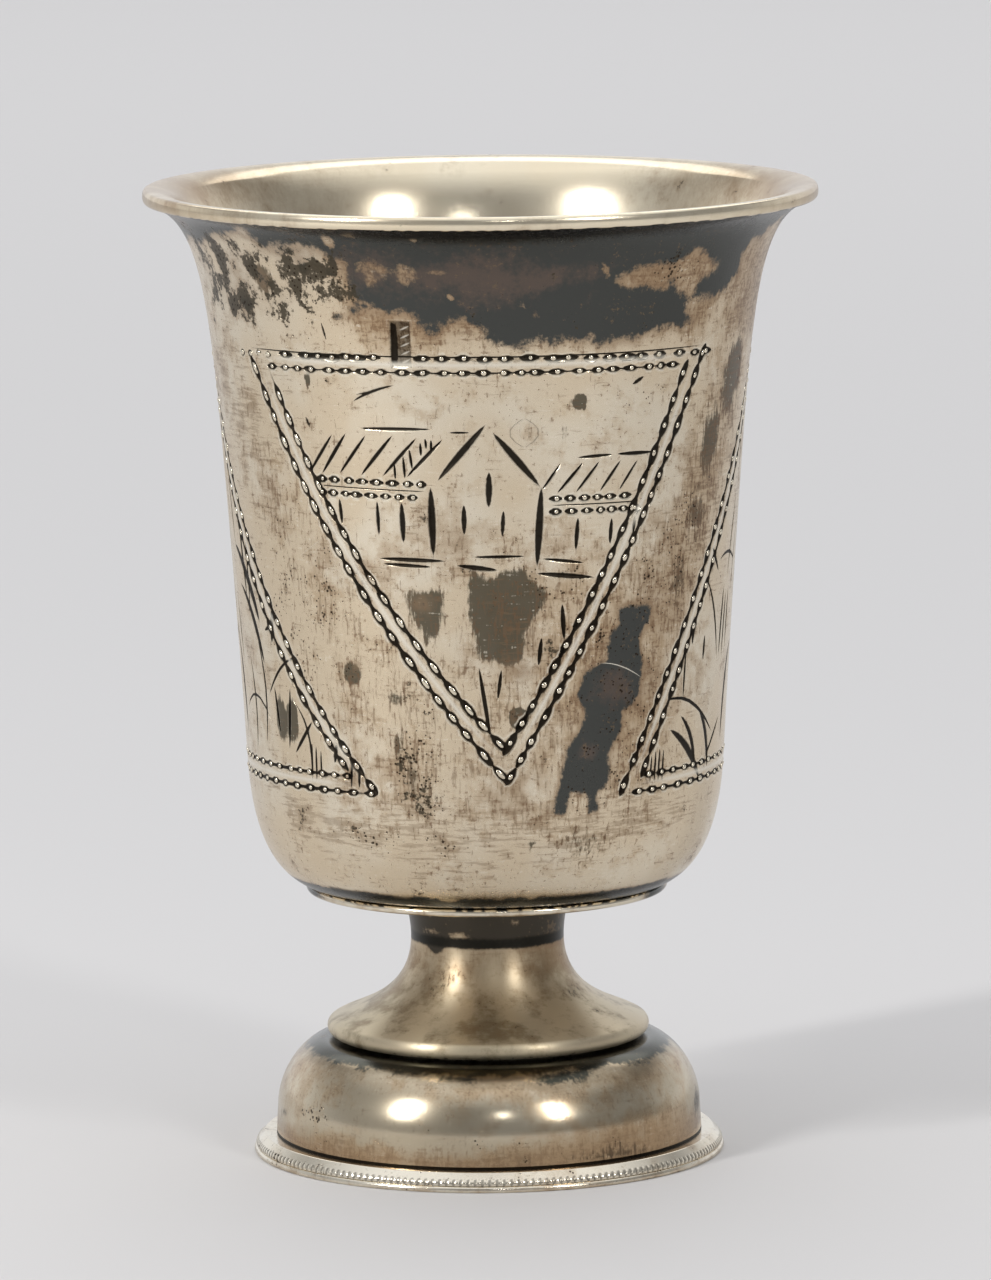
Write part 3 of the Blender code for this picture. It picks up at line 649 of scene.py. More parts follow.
# Strokes of the graver: width, then places as angle and height; three places make a curved stroke
villageStrokes = (
    (0.42, (-27.4, 74.1), (-10.5, 74.2)), (0.2, (-7.1, 73.9), (-2.7, 73.9)),
    (0.4, (-33.9, 73.4), (-40.8, 69.4)), (0.42, (-30.4, 73.6), (-37.3, 69.4)),
    (0.38, (-25.6, 73.5), (-32.7, 69.5)), (0.42, (-19.4, 73.6), (-27.3, 69.5)),
    (0.4, (-14.1, 73.4), (-22.2, 69.5)), (0.4, (-8.4, 73.3), (-16.7, 69.5)),
    (0.26, (-19.3, 70.8), (-19.2, 69.3)), (0.3, (-17.3, 71.6), (-17.0, 69.4)),
    (0.3, (-15.9, 72.3), (-15.3, 70.3)), (0.28, (-13.4, 72.9), (-13.3, 71.6)),
    (0.26, (-12.3, 73.3), (-12.1, 72.3)), (0.26, (-11.0, 73.2), (-11.1, 72.0)),
    (0.46, (-33.0, 67.2), (-32.6, 64.7)), (0.44, (-23.7, 67.2), (-23.5, 63.8)),
    (0.66, (-18.0, 67.2), (-17.8, 63.1)), (0.85, (-11.4, 68.8), (-11.1, 61.8)),
    (0.72, (0.9, 74.8), (-10.1, 69.1)), (0.8, (1.9, 74.0), (12.5, 68.5)),
    (0.8, (12.7, 68.7), (11.8, 60.7)), (0.74, (1.3, 70.2), (1.2, 66.6)),
    (0.56, (-4.2, 67.0), (-4.2, 64.0)), (0.5, (4.4, 66.4), (4.1, 63.8)),
    (0.3, (17.0, 70.8), (12.6, 68.1)), (0.36, (22.2, 70.8), (16.1, 67.8)),
    (0.34, (26.0, 70.8), (20.4, 67.8)), (0.36, (31.1, 70.7), (26.1, 67.8)),
    (0.34, (35.5, 70.6), (30.8, 67.7)), (0.3, (40.5, 70.7), (35.7, 67.7)),
    (0.42, (20.6, 71.2), (29.2, 71.3)), (0.42, (30.0, 71.3), (39.6, 71.2)),
    (0.52, (21.1, 65.5), (20.7, 62.2)), (0.48, (29.3, 65.2), (29.0, 62.6)),
    (0.4, (35.4, 65.2), (35.0, 63.4)), (0.5, (-24.0, 61.6), (-8.2, 61.5)),
    (0.42, (-23.0, 61.1), (-11.4, 60.9)), (0.56, (-6.1, 61.1), (3.2, 60.6)),
    (0.36, (-2.4, 61.9), (9.2, 61.9)), (0.4, (13.0, 61.6), (22.8, 61.0)),
    (0.6, (11.6, 60.2), (25.6, 59.5)), (0.5, (-1.4, 51.4), (1.3, 44.0)), (0.42, (3.8, 51.0), (2.9, 48.0)),
    (0.5, (13.0, 54.0), (12.3, 51.2)), (0.56, (17.7, 57.2), (18.3, 53.6)),
)

leftFoliage = (
    (1.0, (-78.0, 61.0), (-70.0, 58.4), (-63.5, 53.6)),
    (0.8, (-75.0, 57.2), (-68.0, 54.6), (-62.5, 49.6)), (0.4, (-79.0, 68.0), (-77.0, 60.5)),
    (0.5, (-72.5, 64.5), (-70.5, 55.5)), (0.36, (-68.5, 62.0), (-68.9, 54.5)),
    (0.75, (-57.3, 55.6), (-58.4, 52.0)), (0.5, (-58.4, 53.8), (-61.4, 53.2)),
    (0.36, (-61.4, 46.8), (-55.0, 49.9), (-48.8, 51.1)), (0.45, (-58.6, 48.0), (-57.0, 43.2)),
    (0.5, (-52.0, 48.2), (-53.6, 41.8)), (0.34, (-51.0, 46.8), (-46.4, 44.0), (-45.8, 39.8)),
    (0.5, (-44.6, 45.1), (-51.4, 41.6)), (0.3, (-77.0, 44.6), (-69.0, 46.5), (-61.0, 44.3)),
    (0.3, (-45.2, 43.2), (-45.6, 39.3)), (0.34, (-43.9, 42.8), (-44.2, 39.2)),
    (0.3, (-42.4, 42.4), (-42.6, 39.4)), (0.6, (-37.4, 43.2), (-38.2, 41.2)),
    (0.3, (-33.2, 41.6), (-33.6, 38.9)), (0.34, (-31.2, 41.0), (-31.4, 39.0)),
    (0.4, (-66.0, 52.5), (-63.0, 47.5), (-64.5, 41.5)),
    (0.4, (-71.5, 50.5), (-69.5, 45.5), (-71.0, 40.5)), (0.5, (-80.0, 56.0), (-77.5, 49.0)),
    (0.34, (-83.0, 72.0), (-81.5, 62.0)), (0.9, (-86.0, 53.0), (-81.0, 49.5), (-79.0, 42.0)),
    (0.4, (-85.5, 64.0), (-84.5, 56.0), (-88.0, 50.0)),
)

rightFoliage = (
    (0.5, (63.4, 61.0), (67.9, 58.2)), (0.42, (61.0, 58.1), (66.5, 54.5), (69.8, 49.4)),
    (0.4, (68.0, 59.2), (75.0, 59.8), (82.0, 58.4)), (0.5, (72.4, 56.8), (71.0, 49.6)),
    (0.5, (74.4, 56.2), (73.4, 49.4)), (0.5, (76.6, 56.4), (76.2, 50.2)),
    (0.36, (53.8, 51.6), (53.4, 46.4)), (0.42, (45.8, 46.4), (56.0, 46.2), (69.2, 42.3)),
    (0.42, (74.1, 43.8), (65.0, 39.9)), (0.3, (43.0, 41.6), (42.6, 38.8)),
    (0.34, (44.3, 42.0), (44.0, 38.7)), (0.34, (45.6, 42.2), (45.3, 38.7)),
    (0.3, (46.9, 42.0), (46.7, 38.8)), (0.95, (48.5, 43.8), (56.0, 41.6), (62.9, 38.0)),
    (0.7, (52.5, 45.0), (57.5, 42.6), (60.0, 39.2)), (0.8, (60.5, 45.2), (65.0, 42.6), (67.0, 38.8)),
    (0.4, (79.0, 66.0), (74.6, 57.0)), (0.4, (82.6, 64.5), (79.2, 55.0)),
    (0.5, (86.4, 66.5), (84.6, 53.0)), (0.36, (80.0, 73.0), (82.0, 63.5)),
    (0.6, (57.0, 54.5), (56.2, 51.6)), (0.5, (62.0, 52.4), (61.6, 49.8)),
    (0.9, (86.0, 50.5), (80.0, 48.5), (76.5, 41.0)), (0.4, (88.5, 61.0), (87.0, 54.0), (90.5, 47.0)),
)

# marks of use that aren't engraving: width, depth, grime, places
looseMarks = (
    (0.16, 0.012, -1.0, (26.9, 51.1), (32.5, 50.7), (39.2, 49.2)),
    (0.12, 0.01, -0.8, (11.4, 75.9), (15.9, 75.8)),
    (0.4, 0.03, 0.55, (-28.5, 76.6), (-23.7, 77.7), (-18.4, 78.4)),
    (0.3, 0.03, 0.5, (-27.7, 77.3), (-22.0, 77.9)), (0.5, 0.06, 0.9, (33.2, 77.9), (36.1, 78.6)),
    (0.5, 0.05, 0.5, (-40.9, 74.9), (-39.8, 73.8)), (0.1, 0.01, -0.7, (-46.0, 61.0), (-37.0, 63.5)),
    (0.1, 0.01, -0.6, (60.0, 69.0), (72.0, 66.5)),
    (0.26, 0.02, 0.2, (9.6, 75.4), (5.6, 73.8), (9.7, 72.2)),
    (0.26, 0.02, 0.2, (8.0, 75.4), (12.1, 73.8), (8.1, 72.2)),
    (0.2, 0.02, 0.16, (8.1, 74.8), (7.6, 72.9)), (0.2, 0.02, 0.16, (9.8, 74.8), (9.9, 72.9)),
    (0.3, 0.04, 0.7, (-34.5, 84.2), (-33.6, 82.4)), (0.12, 0.01, -0.7, (150.0, 62.0), (163.0, 58.5)),
    (0.12, 0.01, -0.7, (205.0, 70.0), (214.0, 75.0)), (0.14, 0.01, -0.8, (98.0, 84.0), (112.0, 86.0)),
)


def sidePath(start, end, sag, steps=24):
    # a side of a triangle on the sheet, bowed by sag towards its left
    along = end - start
    left = Vector((-along.y, along.x)).normalized()
    shares = [step / steps for step in range(steps + 1)]
    return [start.lerp(end, share) + left * sag * 4 * share * (1 - share) for share in shares]


def insideCorners(corners, distance):
    # corners moved inwards so that each straight side moves by the distance
    lengths = [(corners[(i + 1) % 3] - corners[(i + 2) % 3]).length for i in range(3)]
    centre = sum((c * n for c, n in zip(corners, lengths)), Vector((0, 0))) / sum(lengths)
    first, second = corners[1] - corners[0], corners[2] - corners[0]
    reach = abs(first.x * second.y - first.y * second.x) / sum(lengths)
    return [c.lerp(centre, distance / reach) for c in corners]


cuts, beads = [], []


def setPit(middle, heading, long, width, bead, chance):
    half, shift = heading * long / 2, handLook["beadShift"]
    cuts.append(strokeCut([middle - half, middle + half], width, panelLook["pitDepth"]))
    place = middle + heading * chance.uniform(-shift, shift)
    beads.append((place, heading, bead * chance.uniform(*handLook["bead"])))


def rowOfPits(path, pitch, pit, width, chance, bead=1.0):
    look = handLook
    total, at = pathLength(path), pitch * look["firstPit"]
    while at < total - pitch * look["lastPit"]:
        middle, along = walkPath(path, at)
        step = pitch * chance.uniform(*look["step"])
        heading = Matrix.Rotation(chance.uniform(-look["turn"], look["turn"]), 2) @ along
        long = pit * min(step / pitch, look["longest"]) * chance.uniform(*look["length"])
        setPit(middle, heading, long, width * chance.uniform(*look["width"]), bead, chance)
        at += step


def layTopRow(chance):
    look, stray = panelLook, panelLook["topStray"]
    for angle in look["frontTop"]:
        height = look["topHeight"] - look["topBow"] * (angle - look["topMiddle"]) ** 2
        place = wall.onSheet(angle, height + chance.uniform(-stray, stray))
        short = angle < look["shortBefore"]
        long = look["shortPit"] if short else look["flatPit"] * chance.uniform(*look["topLength"])
        width = look["flatWidth"] * chance.uniform(*look["topWidth"])
        setPit(place, Vector((1, 0)), long, width, 1.0, chance)


def layPanel(name, chance):
    look, panel = panelLook, panelLook[name]
    corners = [wall.onSheet(*corner) for corner in panel["corners"]]
    shiny = insideCorners(corners, sum(look["rows"]) / 2)
    for side in range(3):
        strip = sidePath(shiny[side], shiny[(side + 1) % 3], panel["sags"][side])[::3]
        cuts.append(strokeCut(strip, look["stripWidth"], 0.0, -look["stripShine"], look["stripBlunt"]))
    for row, distance in enumerate(look["rows"]):
        moved = insideCorners(corners, distance)
        for side in range(3):
            path = sidePath(moved[side], moved[(side + 1) % 3], panel["sags"][side])
            thin = 1.0 if side else look["baseLine"].get(name, 0)
            if thin:
                width, depth = look["lineWidth"] * thin, look["lineDepth"] * thin
                cuts.append(strokeCut(path[::3], width, depth, blunt=look["lineBlunt"]))
            if side:
                bead = panel["beads"][side - 1]
                rowOfPits(path, look["slantPitch"], look["slantPit"], look["slantWidth"], chance, bead)
            elif name == "front" and row == 0:
                layTopRow(chance)
            else:
                pitch = look["flatPitch"] * (look["innerPitch"] if row else 1.0)
                size = look["innerSize"] if row else 1.0
                rowOfPits(path, pitch, look["flatPit"] * size, look["flatWidth"] * size, chance)


def engraveStrokes(strokes, depth, shift=0.0, mirror=None, jitter=0.0, grime=1.0):
    # shift turns the strokes round the bowl, mirror swaps them about that angle
    look, chance = sceneLook, random.Random(sceneLook["seed"])
    for width, *places in strokes:
        path = []
        for angle, height in places:
            angle = (2 * mirror - angle if mirror is not None else angle) + shift
            angle += chance.uniform(-jitter, jitter)
            height += chance.uniform(-jitter, jitter) / 3
            path.append(wall.onSheet(angle, height))
        if len(path) == 3:
            start, bow, end = path
            handle = bow * 2 - (start + end) / 2
            shares = [step / look["curveSteps"] for step in range(look["curveSteps"] + 1)]
            path = [start * (1 - t) ** 2 + handle * 2 * t * (1 - t) + end * t * t for t in shares]
        dirt = grime * chance.uniform(*look["grimeSpread"])
        cuts.append(strokeCut(path, width * look["boldness"], depth, dirt))


def eaves(shift, chance):
    look = eavesLook
    for start, end, heights in look["roofs"]:
        def across(height):
            return [wall.onSheet(start + shift, height), wall.onSheet(end + shift, height - look["fall"])]

        for height in heights:
            rowOfPits(across(height), look["pitch"], look["pitch"], look["width"], chance, look["bead"])
        middle = across(sum(heights) / 2)
        cuts.append(strokeCut(middle, look["lineWidth"], look["lineDepth"], blunt=look["lineBlunt"]))


def punchStamp():
    look = stampLook
    low, high = (wall.onSheet(angle, height) for angle, height in zip(look["angles"], look["heights"]))
    cuts.append(sunkPlate(low.x, high.x, low.y, high.y, look["depth"], look["grime"]))
    inset, margin = look["side"]
    side = [Vector((low.x + inset, low.y + margin)), Vector((low.x + inset, high.y - margin))]
    cuts.append(strokeCut(side, look["sideWidth"], look["sideDepth"], look["sideGrime"], look["sideBlunt"]))
    for share in look["ridges"]:
        start = Vector((low.x + look["ridgeStart"], low.y + share * (high.y - low.y)))
        ridge = [start, start + Vector(look["ridgeRun"])]
        cuts.append(strokeCut(ridge, look["ridgeWidth"], 0.0, grime=-look["ridgeShine"]))


def engrave():
    look, chance = sceneLook, random.Random(panelLook["seed"])
    for name in ("front", "right", "back", "left"):
        layPanel(name, chance)
    for shift, jitter in ((0.0, 0.0), (look["backTurn"], look["backStray"])):
        eaves(shift, chance)
        engraveStrokes(villageStrokes, look["villageDepth"], shift, jitter=jitter)
    depth, grime = look["foliageDepth"], look["foliageGrime"]
    for strokes, middle in zip((leftFoliage, rightFoliage), look["mirrors"]):
        engraveStrokes(strokes, depth, grime=grime)
        engraveStrokes(strokes, depth, mirror=middle, jitter=look["mirrorStray"], grime=grime)
    for width, depth, grime, *places in looseMarks:
        engraveStrokes([(width, *places)], depth, grime=grime)
    punchStamp()


engrave()
print("engraving laid out:", len(cuts), "cuts,", len(beads), "beads")


def buildWall():
    # the sheet is split by every cut, then rolled up, each cut pressed in by its depth
    around, tall = wall.around, wall.lengths[-1]
    columns, rows = bowlShape["columns"], round(tall / bowlShape["rowHeight"])
    gx = np.repeat(np.arange(columns + 1) * around / columns, rows + 1)
    gy = np.tile(np.arange(rows + 1) * tall / rows, columns + 1)
    margin, clearance, past, onEdge = 0.15, 0.12, 0.5, 0.02
    keep = np.ones(len(gx), bool)
    placed = []
    for cut in cuts:
        xs, ys = [p.x for p in cut["points"]], [p.y for p in cut["points"]]
        for lap in (-around / 2, around / 2, around * 1.5):
            if max(xs) + lap < -past or min(xs) + lap > around + past:
                continue
            box = (min(xs) + lap - margin, max(xs) + lap + margin, min(ys) - margin, max(ys) + margin)
            placed.append((cut, lap, box))
            index = np.nonzero((gx > box[0]) & (gx < box[1]) & (gy > box[2]) & (gy < box[3]))[0]
            keep[index[cut["press"](gx[index] - lap, gy[index])[1] > -clearance]] = False
    keep |= (gx < tiny) | (gx > around - tiny) | (gy < tiny) | (gy > tall - tiny)
    points = [Vector(p) for p in zip(gx[keep].tolist(), gy[keep].tolist())]
    edges = [(len(points) + i, len(points) + (i + 1) % 4) for i in range(4)]
    points += [Vector((0, 0)), Vector((around, 0)), Vector((around, tall)), Vector((0, tall))]
    for cut, lap, _ in placed:
        edges += [(len(points) + a, len(points) + b) for a, b in cut["edges"]]
        points += [Vector((p.x + lap, p.y)) for p in cut["points"]]
    sheet, _, faces, *_ = delaunay_2d_cdt(points, edges, [], 0, 1e-5)
    across, up = (np.array(c) for c in zip(*[(p.x, p.y) for p in sheet]))
    depth, grime, bright, edge = (np.zeros(len(across)) for _ in range(4))
    for cut, lap, box in placed:
        index = np.nonzero((across > box[0]) & (across < box[1]) & (up > box[2]) & (up < box[3]))[0]
        share, inside = cut["press"](across[index] - lap, up[index])
        depth[index] = np.maximum(depth[index], share * cut["depth"])
        grime[index] = np.maximum(grime[index], share * cut["grime"])
        bright[index] = np.maximum(bright[index], -share * cut["grime"])
        # outlines of cuts are marked for the rubbed coat, wear and a painted highlight
        worn = next((share for deep, share in bowlShape["edgeWearAndHighlight"] if cut["depth"] > deep), 0)
        edge[index[np.abs(inside) < onEdge]] = worn
    edge[depth > tiny] = 0
    faces = np.array(faces)
    middle = across[faces].mean(1)
    faces = faces[(middle > 0) & (middle < around)]
    return across - around / 2, up, depth, {"cut": grime, "edge": edge, "bright": bright}, faces


def bowlInsideOutline():
    shape = bowlShape
    lip, wide, tall = shape["lip"], shape["lipWidth"], shape["height"]
    shoulder, throat, crest = shape["shoulder"], shape["throat"], (wide - shape["crest"], tall)
    edge = bend(lip, (wide - 0.02, lip[1] + 0.15), (wide, lip[1] + 0.35),
                (wide, lip[1] + shape["lipRound"]), 5)
    edge += bend(edge[-1], (wide, tall - 0.2), (wide - 0.15, tall), crest, 5)
    edge += bend(crest, (crest[0] - 1.15, tall), (shoulder[0] + 0.53, shoulder[1] + 0.65), shoulder, 10)
    edge += bend(shoulder, (shoulder[0] - 1.88, shoulder[1] - 2.59),
                 (throat[0] + 0.62, throat[1] + 3.5), throat, 14)
    inner, last = list(reversed(innerSide(wall.outline, shape["wall"]))), -shape["bendSteps"]
    side = [point for point in inner[:last] if point[1] < throat[1] - 0.8][::4]
    foot = inner[last]
    middle = (foot[0] * 0.72, shape["floor"])
    side += bend(foot, (foot[0] - 0.1, foot[1] * 0.45), (foot[0] * 0.92, shape["floor"]), middle, 16)
    return [lip] + edge + side + [(foot[0] * share, shape["floor"]) for share in (0.5, 0.25, 0)]


def makeBowl(material):
    across, up, depth, columns, faces = buildWall()
    sides, flat = bowlShape["columns"], bowlShape["flat"]
    inside = turnShell("bowlInside", raised(bowlInsideOutline(), base("bowl")), sides, material)
    disc = [(0, 0.0), (flat * 0.6, 0.0), (flat, 0.0)]
    under = turnShell("bowlUnder", raised(disc, base("bowl")), sides, material)
    verts, polygons = wall.lift(across, up, depth)[0].tolist(), faces.tolist()
    wallCount = len(verts)
    for part in (inside, under):
        first = len(verts)
        verts += [tuple(v.co) for v in part.data.vertices]
        polygons += [[first + i for i in p.vertices] for p in part.data.polygons]
        bpy.data.objects.remove(part)
    data = bpy.data.meshes.new("engravedBowl")
    data.from_pydata(verts, [], polygons)
    plain = np.zeros(len(verts) - wallCount)
    storeValues(data, depth=np.append(depth, plain), polish=np.append(np.zeros(wallCount), plain + 1),
                **{name: np.append(values, plain) for name, values in columns.items()})
    piece = meshObject("engravedBowl", data)
    data.materials.append(material)
    closeShell(piece, bowlShape["sharpAngle"])
    smoothWall(data)
    return piece


def smoothWall(data):
    # plain silver takes the turned wall's own directions, and each cut keeps the directions of its facets
    depth, inner = readValues(data, "depth"), readValues(data, "polish")
    angle, _, height = cylinderPlaces(data)
    up = np.interp(height, wall.heights, wall.lengths)
    outward = wall.lift(np.radians(angle) * bowlShape["waist"], up)[1]
    loops, count = len(data.loops), len(data.polygons)
    owner, starts, totals = np.empty(loops, np.int32), np.empty(count, np.int32), np.empty(count, np.int32)
    data.loops.foreach_get("vertex_index", owner)
    data.polygons.foreach_get("loop_start", starts)
    data.polygons.foreach_get("loop_total", totals)
    face = np.repeat(np.arange(count), totals)
    uncut = np.maximum.reduceat(depth[owner], starts) < 1e-5
    outer = np.maximum.reduceat(inner[owner], starts) < 0.5
    normals = np.zeros((loops, 3), np.float32)
    plainWall = (uncut & outer)[face]
    normals[plainWall] = outward[owner[plainWall]]
    data.normals_split_custom_set([tuple(n) for n in normals.tolist()])
    data.attributes.remove(data.attributes["depth"])
